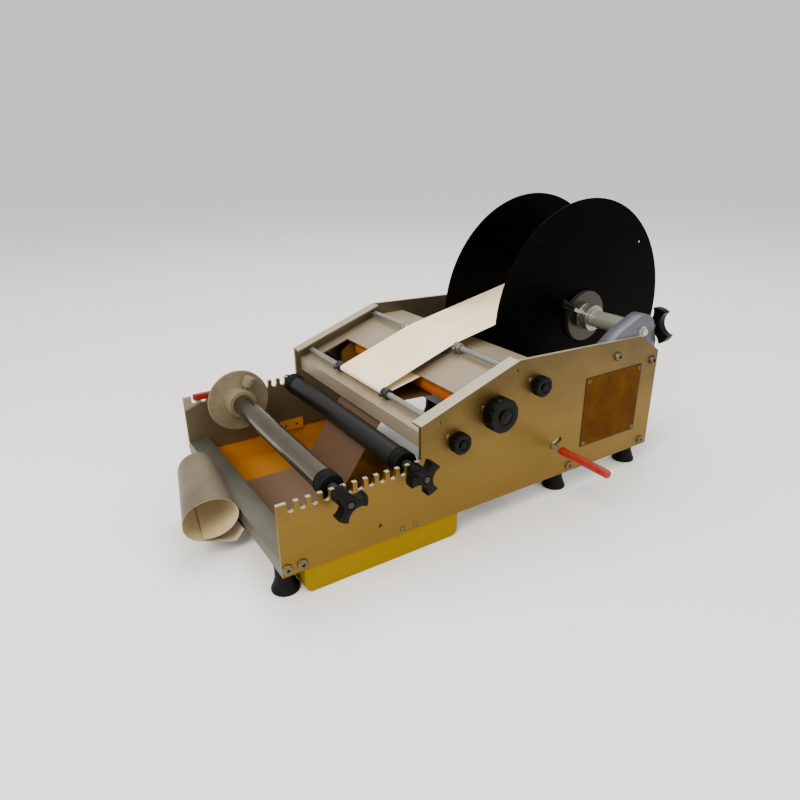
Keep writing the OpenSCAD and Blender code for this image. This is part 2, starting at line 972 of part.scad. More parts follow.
module axle_nuts() {
    color("gainsboro") in_frame()
        for (p = [front_axle, rear_axle])
            difference() {
                translate([-half_w - nut_t, p[0], p[1]])
                    rotate([0, 90, 0]) cylinder(h = nut_t, r = nut_r, $fn = 6);
                bar_x(p, -half_w - nut_t - cut, nut_t + 2 * cut, axle_r + run_gap);
            }
}

module roller_tube(p) {
    tube_x(p, -tube_half, 2 * tube_half, tube_r, tube_r - tube_wall);
}

module roller_caps(p) {
    both_sides() difference() {
        union() {
            bar_x(p, tube_half, cap_len, cap_r);
            bar_x(p, tube_half - cap_plug, cap_plug + cut, tube_r - tube_wall - run_gap);
        }
        bar_x(p, tube_half - cap_plug - cut, cap_plug + cap_len + 2 * cut, axle_r + run_gap);
    }
}

module front_roller_tube() {
    color("#b9bcc2") in_frame() roller_tube(front_axle);
}

module front_roller_caps() {
    color("#151515") in_frame() roller_caps(front_axle);
}

module rear_roller_tube() {
    color("#202020") in_frame() roller_tube(rear_axle);
}

module rear_roller_caps() {
    color("#151515") in_frame() roller_caps(rear_axle);
}

module clamp_knob(p, turn) {
    x = half_w + fit_gap;
    difference() {
        union() {
            bar_x(p, x, knob_boss_len + cut, knob_boss_r);
            translate([0, p[0], p[1]]) yz(x + knob_boss_len, knob_t)
                rotate(turn) lobed_outline(clamp_r, knob_waist_r, knob_scoop_r);
        }
        bar_x(p, x - cut, cut + knob_boss_len + axle_in_knob + cut, axle_r + run_gap);
    }
}

module front_clamp_knob() {
    color("#151515") in_frame() clamp_knob(front_axle, front_knob_turn);
}

module rear_clamp_knob() {
    color("#151515") in_frame() clamp_knob(rear_axle, rear_knob_turn);
}

module stop_disc() {
    x = -tube_half + stop_in;
    bore = tube_r + run_gap;
    color("#d8d0bd") in_frame() {
        difference() {
            union() {
                bar_x(front_axle, x, stop_t, stop_r);
                bar_x(front_axle, x, stop_t + stop_hub_len, stop_hub_r);
            }
            bar_x(front_axle, x - cut, stop_t + stop_hub_len + 2 * cut, bore);
            stop_screw_place(x) cylinder(h = stop_hub_r + cut, r = stop_screw_r + run_gap);
        }
        stop_screw_place(x) {
            translate([0, 0, bore + fit_gap])
                cylinder(h = stop_hub_r - bore + stop_screw_lift, r = stop_screw_r);
            translate([0, 0, stop_hub_r + stop_screw_lift - cut])
                cylinder(h = stop_screw_head_h, r = stop_screw_head_r);
        }
    }
}

module stop_screw_place(x) {
    translate([x + stop_t + stop_hub_len / 2, front_axle[0], front_axle[1]])
        rotate([-stop_screw_lean, 0, 0]) children();
}

module drive_shaft() {
    color("silver") in_frame()
        bar_x(drive_axis, -half_w + cut, half_w - cut + big_knob_x + big_knob_t - cut, drive_shaft_r);
}

module drive_roller() {
    color("#d9700f") in_frame()
        tube_x(drive_axis, -drive_half, 2 * drive_half, drive_r, drive_shaft_r + run_gap);
}

drive_phase = idler_angle;
idler_phase = mesh_phase(idler_angle, drive_phase, drive_teeth, idler_teeth);
pinion_phase = mesh_phase(pinion_angle, idler_phase, idler_teeth, pinion_teeth);

module gear(p, teeth, phase, bore) {
    difference() {
        translate([0, p[0], p[1]]) yz(-gear_x, gear_t) gear_outline(teeth, phase);
        bar_x(p, -gear_x - cut, gear_t + 2 * cut, bore);
    }
}

module drive_gear() {
    color("goldenrod") in_frame()
        gear(drive_axis, drive_teeth, drive_phase, drive_shaft_r + run_gap);
}

module idler_gear() {
    color("goldenrod") in_frame()
        gear(idler_axis, idler_teeth, idler_phase, stud_r + run_gap);
}

module motor_pinion() {
    color("silver") in_frame() {
        gear(motor_axis, pinion_teeth, pinion_phase, pinion_shaft_r - cut);
        bar_x(
            motor_axis, -gear_x - cut,
            gear_x - bracket_x + bracket_t + motor_shaft_depth + cut, pinion_shaft_r
        );
    }
}

module shaft_knob(p, x, t, r, scallop, count, bore) {
    difference() {
        union() {
            translate([0, p[0], p[1]]) yz(x, t) scalloped_outline(r, scallop, count);
            bar_x(p, x + t - cut, dial_t + cut, r * dial_r_share);
        }
        bar_x(p, x - cut, t, bore + run_gap);
    }
}

module drive_knob() {
    color("#151515") in_frame()
        shaft_knob(
            drive_axis, big_knob_x, big_knob_t, big_knob_r,
            big_scallop_r, big_scallops, drive_shaft_r
        );
}

module exit_roller() {
    color("silver") in_frame() {
        bar_x(exit_axis, -exit_half, 2 * exit_half, exit_r);
        bar_x(
            exit_axis, -half_w + cut,
            half_w - cut + small_knob_x + small_knob_t - 2 * cut, shaft_r
        );
    }
}

module small_knob(p) {
    shaft_knob(
        p, small_knob_x, small_knob_t, small_knob_r,
        small_scallop_r, small_scallops, shaft_r
    );
}

module exit_knob() {
    color("#151515") in_frame() small_knob(exit_axis);
}

module nip_knob() {
    color("#151515") in_frame() small_knob(pivot_axis);
}

module bearing_block(p, r, bore, screws) {
    difference() {
        union() {
            yz(in_w - block_flange_t, block_flange_t) {
                translate(p) circle(r = r);
                link_outline(screws[0], screws[1], screw_pad_r);
            }
            bar_x(p, in_w - cut, plate_t + block_rim + cut, block_spigot_r);
        }
        bar_x(p, in_w - block_flange_t - cut, 3 * plate_t + 2 * cut, bore + run_gap);
        for (s = screws)
            bar_x(s, in_w - block_flange_t - cut, block_flange_t + 2 * cut, screw_r + fit_gap);
    }
}

module bearing_blocks() {
    color("dimgray") in_frame() both_sides() {
        bearing_block(exit_axis, small_block_r, shaft_r, [block_screws[0], block_screws[1]]);
        bearing_block(drive_axis, drive_block_r, drive_shaft_r, [block_screws[2], block_screws[3]]);
        bearing_block(pivot_axis, small_block_r, shaft_r, [block_screws[4], block_screws[5]]);
    }
}

module small_screws() {
    color("gray") in_frame() {
        both_sides() {
            for (p = block_screws)
                side_screw(p, half_w, screw_head_r, screw_head_h, screw_r, plate_t + screw_grip);
            for (y = tab_screws)
                side_screw(
                    [y, tab_screw_h], half_w, screw_head_r, screw_head_h,
                    screw_r, plate_t + tray_wall
                );
        }
        for (p = panel_screws)
            side_screw(
                p, half_w + panel_t, screw_head_r, screw_head_h, screw_r, plate_t + panel_t
            );
        for (p = posts)
            mirror([1, 0, 0])
                side_screw(
                    p, half_w, screw_head_r, screw_head_h, screw_r, plate_t + screw_grip
                );
    }
}

// A flat link between two points, round at both ends
module link_outline(a, b, r) {
    v = b - a;
    translate(a) circle(r = r);
    translate(b) circle(r = r);
    translate(a) rotate(atan2(v[1], v[0])) translate([0, -r]) square([norm(v), 2 * r]);
}

module nip_frame() {
    color("lightgray") in_frame() difference() {
        union() {
            yz(arm_x, nip_arm_t) {
                link_outline(nip_axis, pivot_axis, nip_arm_r);
                link_outline(pivot_axis, lever_axis, nip_arm_r);
            }
            yz(-arm_x - nip_arm_t, nip_arm_t) link_outline(nip_axis, pivot_axis, nip_arm_r);
            bar_x(tie_axis, -arm_x - cut, 2 * arm_x + 2 * cut, tie_r);
            bar_x(nip_axis, -arm_x - cut, 2 * arm_x + 2 * cut, nip_axle_r);
        }
        both_sides() bar_x(pivot_axis, arm_x - cut, nip_arm_t + 2 * cut, shaft_r + run_gap);
        bar_x(lever_axis, arm_x - cut, nip_arm_t + 2 * cut, lever_r + run_gap);
    }
}

module nip_pivot_shaft() {
    color("silver") in_frame()
        bar_x(
            pivot_axis, -half_w + cut,
            half_w - cut + small_knob_x + small_knob_t - 2 * cut, shaft_r
        );
}

module nip_roller() {
    color("#222222") in_frame()
        tube_x(nip_axis, -nip_half, 2 * nip_half, nip_r, nip_axle_r + run_gap);
}

module lever_rod() {
    color("silver") in_frame()
        bar_x(lever_axis, arm_x, half_w + lever_out - arm_x - cut, lever_r);
}

module lever_sleeve() {
    color("#c23a1e") in_frame() difference() {
        bar_x(lever_axis, half_w + sleeve_from, lever_out - sleeve_from, sleeve_r);
        bar_x(lever_axis, half_w + sleeve_from - cut, lever_out - sleeve_from, lever_r + run_gap);
    }
}

// Torsion spring round the pivot shaft, swept as one helical tube
function spring_point(i) =
    let (a = 360 * i / spring_steps)
    [spring_x + spring_pitch * i / spring_steps + spring_wire,
     pivot_axis[0] + spring_r * cos(a), pivot_axis[1] + spring_r * sin(a)];
function spring_ring(i) =
    let (p = spring_point(i), a = 360 * i / spring_steps, out = [0, cos(a), sin(a)])
    [for (k = [0:spring_sides - 1])
        p + spring_wire / 2
            * (out * cos(360 * k / spring_sides) + [1, 0, 0] * sin(360 * k / spring_sides))];
spring_rings = spring_turns * spring_steps;
spring_gap = spring_pitch - spring_wire;

module nip_spring() {
    echo("least gap between spring turns", spring_gap);
    pts = [for (i = [0:spring_rings]) each spring_ring(i)];
    sides = [
        for (i = [0:spring_rings - 1])
            for (k = [0:spring_sides - 1])
                let (
                    k2 = (k + 1) % spring_sides,
                    a = i * spring_sides + k, b = i * spring_sides + k2,
                    c = a + spring_sides, d = b + spring_sides
                )
                each [[a, b, d], [a, d, c]]
    ];
    first = [for (k = [1:spring_sides - 2]) [0, k + 1, k]];
    base = spring_rings * spring_sides;
    last = [for (k = [1:spring_sides - 2]) [base, base + k, base + k + 1]];
    color("gray") in_frame() polyhedron(points = pts, faces = concat(first, sides, last));
}

module gear_bracket() {
    top = posts[3][1] + bracket_margin;
    bottom = posts[1][1] - bracket_margin;
    front = posts[0][0] - bracket_margin;
    rear = posts[2][0] + bracket_margin;
    color("silver") in_frame() difference() {
        union() {
            yz(-bracket_x, bracket_t) polygon([
                [front, bottom], [rear, bottom], [rear, top], bracket_shoulder,
                [front, posts[0][1] + bracket_margin]
            ]);
            for (p = posts) bar_x(p, -in_w, in_w - bracket_x + cut, post_r);
            bar_x(idler_axis, -gear_x, gear_x - bracket_x + cut, stud_r);
        }
        bar_x(drive_axis, -bracket_x - cut, bracket_t + 2 * cut, drive_shaft_r + pass_gap);
        bar_x(motor_axis, -bracket_x - cut, bracket_t + 2 * cut, pinion_shaft_r + pass_gap);
        for (p = posts) bar_x(p, -in_w - cut, 2 * plate_t, screw_r + fit_gap);
    }
}

module gearmotor() {
    x = -bracket_x + bracket_t;
    color("#4a4d50") in_frame() difference() {
        union() {
            bar_x(motor_axis, x, motor_len / 3, motor_r);
            bar_x(motor_axis, x + motor_len / 3 - cut, motor_len * 2 / 3 - cut, motor_r - motor_neck);
            bar_x(motor_axis, x + motor_len - motor_boss_len, motor_boss_len, motor_boss_r);
        }
        bar_x(motor_axis, x - cut, motor_shaft_depth + 2 * cut, pinion_shaft_r + run_gap);
    }
}

// Point where a line from the arm's bend touches its round head
arm_d = arm_bend - spindle_axis;
arm_touch = polar(
    spindle_axis, arm_round_r,
    atan2(arm_d[1], arm_d[0]) - acos(arm_round_r / norm(arm_d))
);

module arm_outline() {
    difference() {
        union() {
            translate(spindle_axis) circle(r = arm_round_r);
            polygon([
                arm_tip, arm_bend, arm_touch, spindle_axis, [spindle_y + arm_round_r, spindle_h],
                [arm_foot_rear, arm_rear_h], [arm_foot_rear, arm_foot_h],
                [arm_foot_front, arm_foot_h]
            ]);
        }
        translate(spindle_axis) circle(r = journal_r + run_gap);
        for (p = [arm_screw_front, arm_screw_rear])
            translate(p) circle(r = arm_screw_r + fit_gap);
    }
}

module reel_arms() {
    color("#bcc4cc") in_frame() {
        difference() {
            yz(in_w - arm_t, arm_t) arm_outline();
            translate([in_w - arm_t / 2, spindle_y, spindle_h]) rotate([-90, 0, 0])
                cylinder(h = arm_foot_rear - spindle_y + cut, r = brake_stem_r + run_gap);
        }
        yz(-in_w, arm_t) arm_outline();
    }
}

module arm_screws() {
    color("gainsboro") in_frame() both_sides()
        for (p = [arm_screw_front, arm_screw_rear])
            side_screw(
                p, half_w, arm_screw_head_r, arm_screw_head_h, arm_screw_r, plate_t + arm_t
            );
}

module spindle() {
    color("silver") in_frame() {
        x = in_w - arm_t - seat_gap;
        bar_x(spindle_axis, -x, 2 * x, spindle_r);
        bar_x(spindle_axis, -in_w, 2 * in_w, journal_r);
        both_sides() {
            bar_x(spindle_axis, in_w - cut, end_washer_t + cut, end_washer_r - cut);
            translate([in_w, spindle_y, spindle_h])
                rotate([0, 90, 0]) cylinder(h = end_screw_t + end_washer_t, r = end_screw_r, $fn = 6);
        }
    }
}

module reel_disc(x) {
    difference() {
        bar_x(spindle_axis, x, disc_t, disc_r);
        bar_x(spindle_axis, x - cut, disc_t + 2 * cut, spigot_r);
        for (a = [disc_hole_turn, disc_hole_turn + half_turn])
            bar_x(polar(spindle_axis, disc_hole_at, a), x - cut, disc_t + 2 * cut, disc_hole_r);
    }
}

module reel_disc_right() {
    color("#101010") in_frame() reel_disc(disc_x);
}

module reel_disc_left() {
    color("#101010") in_frame() reel_disc(-disc_x - disc_t);
}

module hub_screw_place() {
    translate([disc_x + disc_t + collar_t + hub_boss_len / 2, spindle_y, spindle_h])
        rotate([hub_screw_angle - 90, 0, 0]) children();
}

module hub_right() {
    x = disc_x + disc_t;
    color("silver") in_frame() {
        difference() {
            union() {
                bar_x(spindle_axis, disc_x, disc_t + cut, spigot_r - run_gap);
                bar_x(spindle_axis, x, collar_t, collar_r);
                bar_x(spindle_axis, x + collar_t - cut, hub_boss_len + cut, hub_boss_r);
            }
            bar_x(
                spindle_axis, disc_x - cut,
                disc_t + collar_t + hub_boss_len + 2 * cut, spindle_r + run_gap
            );
            hub_screw_place() cylinder(h = hub_boss_r + cut, r = hub_screw_r + run_gap);
        }
        hub_screw_place() {
            translate([0, 0, spindle_r + seat_gap])
                cylinder(h = hub_grip_from - spindle_r, r = hub_screw_r);
            translate([0, 0, hub_grip_from])
                cylinder(h = hub_grip_to - hub_grip_from, r = hub_grip_r);
        }
    }
}

module hub_left() {
    x = disc_x + disc_t;
    color("silver") in_frame() difference() {
        union() {
            bar_x(spindle_axis, -x - collar_t, collar_t, collar_r);
            bar_x(spindle_axis, -x - cut, disc_t + 2 * cut, spigot_r - run_gap);
            bar_x(spindle_axis, -disc_x, 2 * disc_x - pass_gap, mandrel_r);
        }
        bar_x(
            spindle_axis, -disc_x + mandrel_wall,
            2 * disc_x - pass_gap - 2 * mandrel_wall, mandrel_r - mandrel_wall
        );
        bar_x(spindle_axis, -half_w, body_w, spindle_r + run_gap);
    }
}

module label_roll() {
    x = web_w / 2 + roll_side;
    color("#efe8d6") in_frame() tube_x(spindle_axis, -x, 2 * x, roll_r, core_r);
}

module brake_knob() {
    x = in_w - arm_t / 2;
    color("#151515") in_frame() translate([x, 0, spindle_h]) rotate([-90, 0, 0]) {
        translate([0, 0, spindle_y + journal_r + brake_stem_in])
            cylinder(h = brake_y - spindle_y - journal_r - brake_stem_in + cut, r = brake_stem_r);
        translate([0, 0, brake_y]) linear_extrude(height = brake_t)
            rotate(brake_knob_turn) lobed_outline(brake_lobe_r, brake_waist_r, brake_scoop_r);
    }
}

module name_panel() {
    color("#7a5215") in_frame() difference() {
        block(half_w, panel_y, panel_z, panel_t, panel_w, panel_h);
        for (p = panel_screws)
            bar_x(p, half_w - cut, panel_t + 2 * cut, screw_r + fit_gap);
    }
}

module edge_clip() {
    color("#c23a1e") in_frame() difference() {
        block(
            -half_w - clip_t, clip_y, low_h - clip_h + clip_t,
            plate_t + 2 * clip_t, clip_len, clip_h
        );
        block(
            -half_w - fit_gap / 2, clip_y - cut, low_h - clip_h,
            plate_t + fit_gap, clip_len + 2 * cut, clip_h
        );
    }
}

module electronics_box() {
    x = -in_w;
    color("#8d9094") in_frame() difference() {
        block(x, box_y, box_z, box_d, box_len, box_h);
        block(
            x - cut, inlet_y - inlet_lip, inlet_z - inlet_lip,
            switch_d + 2 * cut, switch_y + switch_w - inlet_y + 2 * inlet_lip, inlet_h + 2 * inlet_lip
        );
        block(
            x + box_d - box_lid_t, box_y - cut, box_z + box_h - 2 * box_lid_t,
            box_lid_t + cut, box_len + 2 * cut, box_gap
        );
    }
}

module power_inlet() {
    color("#151515") in_frame() difference() {
        union() {
            block(
                -half_w - inlet_lip, inlet_y - inlet_lip, inlet_z - inlet_lip,
                inlet_lip, inlet_w + 2 * inlet_lip, inlet_h + 2 * inlet_lip
            );
            block(
                -half_w - cut, inlet_y + fit_gap, inlet_z + fit_gap,
                plate_t + switch_d - cut, inlet_w - 2 * fit_gap, inlet_h - 2 * fit_gap
            );
        }
        difference() {
            block(
                -half_w - inlet_lip - cut, inlet_y + inlet_lip, inlet_z + inlet_lip,
                switch_d, inlet_w - 2 * inlet_lip, inlet_h - 2 * inlet_lip
            );
            for (k = [-1:1])
                block(
                    -half_w, inlet_y + inlet_w / 2 + k * inlet_w / 4 - inlet_pin_w / 2,
                    inlet_z + inlet_h / 2 - inlet_pin_d / 2,
                    switch_d, inlet_pin_w, inlet_pin_d
                );
        }
    }
}

// The rocker's outline lies inside one circle round its pivot, so it can tip
module rocker_switch() {
    o = [0, 0];
    w = switch_w - 2 * seat_gap;
    color("#151515") in_frame()
        translate([-half_w + rocker_in, switch_y + switch_w - seat_gap, switch_z + switch_h / 2])
            rotate([90, 0, 0]) {
                linear_extrude(height = w) rotate(rocker_tilt) polygon([
                    polar(o, rocker_r, half_turn - rocker_tip_angle), [-rocker_valley, 0],
                    polar(o, rocker_r, half_turn + rocker_tip_angle),
                    polar(o, rocker_r, -rocker_back_angle), polar(o, rocker_r, rocker_back_angle)
                ]);
                translate([0, 0, -rocker_pin_out])
                    cylinder(h = w + 2 * rocker_pin_out, r = rocker_pin_r);
            }
}

side_plate_right();
side_plate_left();
front_cross_bar();
middle_cross_bar();
rear_foot_brackets();
rubber_feet();
frame_bolts();
base_tray();
table_bed();
guide_rods();
front_collar_right();
front_collar_left();
rear_collar_right();
rear_collar_left();
label_sensor();
label_web();
liner_strip();
roller_axles();
axle_spacers();
axle_nuts();
front_roller_tube();
front_roller_caps();
rear_roller_tube();
rear_roller_caps();
front_clamp_knob();
rear_clamp_knob();
stop_disc();
drive_shaft();
drive_roller();
drive_gear();
drive_knob();
exit_roller();
exit_knob();
bearing_blocks();
small_screws();
nip_frame();
nip_pivot_shaft();
nip_knob();
nip_roller();
lever_rod();
lever_sleeve();
nip_spring();
gear_bracket();
idler_gear();
gearmotor();
motor_pinion();
reel_arms();
arm_screws();
spindle();
reel_disc_right();
reel_disc_left();
hub_right();
hub_left();
label_roll();
brake_knob();
name_panel();
edge_clip();
electronics_box();
power_inlet();
rocker_switch();
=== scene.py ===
import json
import math

import bpy
from mathutils import Matrix, Vector

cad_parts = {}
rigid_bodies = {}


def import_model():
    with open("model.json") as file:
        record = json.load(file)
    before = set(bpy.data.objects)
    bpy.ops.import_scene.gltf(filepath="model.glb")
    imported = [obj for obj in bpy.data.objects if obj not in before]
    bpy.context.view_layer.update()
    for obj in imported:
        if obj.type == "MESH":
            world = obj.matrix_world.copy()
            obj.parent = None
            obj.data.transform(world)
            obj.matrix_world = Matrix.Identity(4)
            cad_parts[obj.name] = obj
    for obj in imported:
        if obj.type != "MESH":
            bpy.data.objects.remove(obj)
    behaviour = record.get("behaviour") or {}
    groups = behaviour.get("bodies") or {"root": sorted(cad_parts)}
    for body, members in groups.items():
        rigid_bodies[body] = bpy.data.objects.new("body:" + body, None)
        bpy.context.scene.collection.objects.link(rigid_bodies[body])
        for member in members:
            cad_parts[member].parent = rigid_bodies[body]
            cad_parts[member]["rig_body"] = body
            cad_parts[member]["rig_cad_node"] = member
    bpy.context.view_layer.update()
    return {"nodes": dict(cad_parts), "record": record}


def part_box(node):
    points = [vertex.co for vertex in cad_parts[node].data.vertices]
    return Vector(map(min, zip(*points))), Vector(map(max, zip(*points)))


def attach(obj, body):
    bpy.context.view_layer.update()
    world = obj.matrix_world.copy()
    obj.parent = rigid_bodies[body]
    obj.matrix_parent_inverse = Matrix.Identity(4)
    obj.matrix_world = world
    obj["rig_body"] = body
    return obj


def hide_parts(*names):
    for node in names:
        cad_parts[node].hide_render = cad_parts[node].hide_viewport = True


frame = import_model()
nodes = frame["nodes"]
slot_of = {part["node"]: part["material_slot"] for part in frame["record"]["subparts"]}

# Measures shared with the part, in millimetres from the machine's own zero: the
# middle of its width, the front edge of the side plates, and their bottom edge.
HALF_WIDTH = 180.0
GROUND = -34.0
FOOT_X = 155.0
FOOT_Y = (11, 433, 585)
FRONT_AXLE = (72.0, 82.3)
REAR_AXLE = (170.0, 82.3)
DRIVE_AXIS = (289.0, 128.0)
EXIT_AXIS = (232.0, 103.0)
PIVOT_AXIS = (360.0, 148.0)
SPINDLE_AXIS = (565.0, 182.0)
STEP = (181.0, 134.0)
SLOPE = math.atan2(52, 147)
RIDGE_Y = 335.0
WEB_WIDTH = 114.0

plate_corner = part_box("side_plate_right")[1]
bar_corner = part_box("front_cross_bar")[0]
ZERO = Vector((plate_corner.x - HALF_WIDTH / 1000, bar_corner.y, bar_corner.z))


def at(x, y, z):
    """A place in the frame, in metres, from machine millimetres."""
    return ZERO + Vector((x, y, z)) / 1000


# Camera, solved from the straight edges of the machine in the photograph

ahead = Vector((-0.78375, 0.49209, -0.37892)).normalized()
right = Vector((0.53582, 0.84425, -0.01188)).normalized()
up = right.cross(ahead).normalized()
right = ahead.cross(up).normalized()
camera_data = bpy.data.cameras.new("viewpoint")
camera_data.lens = 28.50
camera_data.sensor_width = 36.0
camera_data.shift_x = 0.00175
camera_data.shift_y = -0.0029
camera_data.clip_start = 0.01
camera_data.clip_end = 50.0
camera = bpy.data.objects.new("viewpoint", camera_data)
bpy.context.scene.collection.objects.link(camera)
camera.matrix_world = Matrix.Translation(at(723.5, -190.2, 440.2)) @ Matrix(
    (right, up, -ahead)
).transposed().to_4x4()
bpy.context.scene.camera = camera

# Shader nodes


def colour(code):
    """An sRGB hex code as linear light."""
    parts = [int(code[i : i + 2], 16) / 255 for i in (0, 2, 4)]
    return tuple(
        c / 12.92 if c <= 0.04045 else ((c + 0.055) / 1.055) ** 2.4 for c in parts
    ) + (1.0,)


def add(tree, kind, inputs=(), **settings):
    """Adds one node with its settings and its input values or links."""
    node = tree.nodes.new(kind)
    for key, value in settings.items():
        setattr(node, key, value)
    for key, value in dict(inputs).items():
        if isinstance(value, bpy.types.NodeSocket):
            tree.links.new(value, node.inputs[key])
        else:
            node.inputs[key].default_value = value
    return node


def per(size_mm):
    """The scale of a pattern whose features are this many millimetres apart."""
    return 1000.0 / size_mm


def noise(tree, place, scale, detail, roughness=0.5, distortion=0.0):
    return add(
        tree, "ShaderNodeTexNoise",
        {"Vector": place, "Scale": scale, "Detail": detail, "Roughness": roughness,
         "Distortion": distortion},
    ).outputs["Fac"]


def stretched(tree, place, scales):
    return add(tree, "ShaderNodeMapping", {"Vector": place, "Scale": scales}).outputs["Vector"]


def spread(tree, value, low, high, first=0.0, last=1.0):
    """Carries a value from the range low to high over to first to last."""
    return add(
        tree, "ShaderNodeMapRange",
        {"Value": value, "From Min": low, "From Max": high, "To Min": first, "To Max": last},
    ).outputs["Result"]


def reckon(tree, operation, *values):
    return add(tree, "ShaderNodeMath", enumerate(values), operation=operation).outputs["Value"]


def ramp(tree, value, *stops):
    """The colour at a value between stops of (position, hex code)."""
    node = add(tree, "ShaderNodeValToRGB", {"Fac": value})
    elements = node.color_ramp.elements
    for element, (position, code) in zip(elements, (stops[0], stops[-1])):
        element.position = position
        element.color = colour(code)
    for position, code in stops[1:-1]:
        elements.new(position).color = colour(code)
    return node.outputs["Color"]


def mixed(tree, share, first, second):
    """The first colour where the share is 0, the second where it is 1."""
    return add(
        tree, "ShaderNodeMix", {"Factor": share, "A": first, "B": second}, data_type="RGBA"
    ).outputs["Result"]


def parts_of(tree, vector):
    return add(tree, "ShaderNodeSeparateXYZ", {"Vector": vector}).outputs


def normal_of(tree):
    return parts_of(tree, add(tree, "ShaderNodeNewGeometry").outputs["Normal"])


def inward_share(tree, place, normal):
    """1 on faces that look at the machine's middle plane, 0 on those that look away."""
    across = reckon(tree, "ADD", place["X"], -ZERO.x)
    outward = reckon(tree, "MULTIPLY", across, normal["X"])
    return spread(tree, outward, -0.15, -0.08, 1.0, 0.0)


def relief(tree, shader, height, strength, distance):
    node = add(
        tree, "ShaderNodeBump", {"Height": height, "Strength": strength, "Distance": distance}
    )
    tree.links.new(node.outputs["Normal"], shader.inputs["Normal"])


def start_material(name, metallic=0.0, roughness=0.5, ior=1.5):
    material = bpy.data.materials.new(name)
    material.use_nodes = True
    tree = material.node_tree
    shader = tree.nodes["Principled BSDF"]
    shader.inputs["Metallic"].default_value = metallic
    shader.inputs["Roughness"].default_value = roughness
    if metallic < 0.5:
        shader.inputs["IOR"].default_value = ior
    place = add(tree, "ShaderNodeTexCoord").outputs["Object"]
    return material, tree, shader, place


def reopened(material):
    """The tree, shader, base colour and object place of a finished material."""
    tree = material.node_tree
    shader = tree.nodes["Principled BSDF"]
    base = shader.inputs["Base Color"].links[0].from_socket
    return tree, shader, base, add(tree, "ShaderNodeTexCoord").outputs["Object"]


# Materials


def sheet_metal(name, bright, shade, across, rough, metallic, grain_mm=0.9, depth=0.12):
    """Brushed or rolled sheet: streaks along one direction, a slow drift of tone
    from handling, and a grain that spreads the highlight. The real grain is about
    0.1 mm, drawn coarser so that it shows."""
    streak_mm, drift_mm = 70.0, 140.0
    material, tree, shader, place = start_material(name, metallic, rough)
    scales = [per(grain_mm) if axis in across else per(streak_mm) for axis in "XYZ"]
    grain = noise(tree, stretched(tree, place, scales), 1.0, 3.0, 0.6)
    drift = noise(tree, place, per(drift_mm), 2.0)
    tone = reckon(tree, "MULTIPLY_ADD", drift, 0.75, reckon(tree, "MULTIPLY", grain, 0.4))
    base = ramp(tree, tone, (0.36, shade), (0.78, bright))
    tree.links.new(base, shader.inputs["Base Color"])
    gloss = spread(tree, grain, 0.3, 0.7, rough - 0.07, rough + 0.09)
    tree.links.new(gloss, shader.inputs["Roughness"])
    relief(tree, shader, grain, depth, 0.0002)
    return material


def moulded(name, main, worn_and_lit, rough, grain_mm=1.1, depth=0.15, ior=1.5, specular=0.35):
    """Moulded plastic or rubber: a fine spark-eroded grain, a little dust in the
    low tones and paler scuffs in patches a few centimetres wide."""
    scuff_mm = 16.0
    material, tree, shader, place = start_material(name, 0.0, rough, ior)
    shader.inputs["Specular IOR Level"].default_value = specular
    pits = noise(tree, place, per(grain_mm), 2.0, 0.55)
    scuffs = noise(tree, place, per(scuff_mm), 5.0, 0.7)
    base = ramp(tree, scuffs, (0.45, main), (0.80, worn_and_lit))
    tree.links.new(base, shader.inputs["Base Color"])
    gloss = spread(tree, scuffs, 0.3, 0.75, rough - 0.04, rough + 0.14)
    tree.links.new(gloss, shader.inputs["Roughness"])
    relief(tree, shader, pits, depth, 0.00015)
    return material


def paper(name, main, shade, rough, fibre_mm):
    """Paper from a machine: short fibres that mottle it, and a slow cloud of tone."""
    cloud_mm = 45.0
    material, tree, shader, place = start_material(name, 0.0, rough, 1.45)
    fibres = noise(tree, place, per(fibre_mm), 4.0, 0.65)
    cloud = noise(tree, place, per(cloud_mm), 2.0)
    tone = reckon(tree, "MULTIPLY_ADD", fibres, 0.35, cloud)
    base = ramp(tree, tone, (0.45, shade), (0.85, main))
    tree.links.new(base, shader.inputs["Base Color"])
    relief(tree, shader, fibres, 0.08, 0.0001)
    return material


def enamel(name, main, chip, rough, coat=0.25, specular=0.30):
    """Stove enamel on sheet steel: an orange-peel surface, a clear gloss and a few
    small chips and rubs down to a duller tone."""
    peel_mm, rub_mm = 2.2, 28.0
    material, tree, shader, place = start_material(name, 0.0, rough, 1.52)
    shader.inputs["Specular IOR Level"].default_value = specular
    shader.inputs["Coat Weight"].default_value = coat
    shader.inputs["Coat Roughness"].default_value = 0.15
    peel = noise(tree, place, per(peel_mm), 1.0, 0.4)
    rubs = noise(tree, place, per(rub_mm), 8.0, 0.75)
    base = ramp(tree, rubs, (0.60, main), (0.74, chip))
    tree.links.new(base, shader.inputs["Base Color"])
    relief(tree, shader, peel, 0.10, 0.0002)
    return material


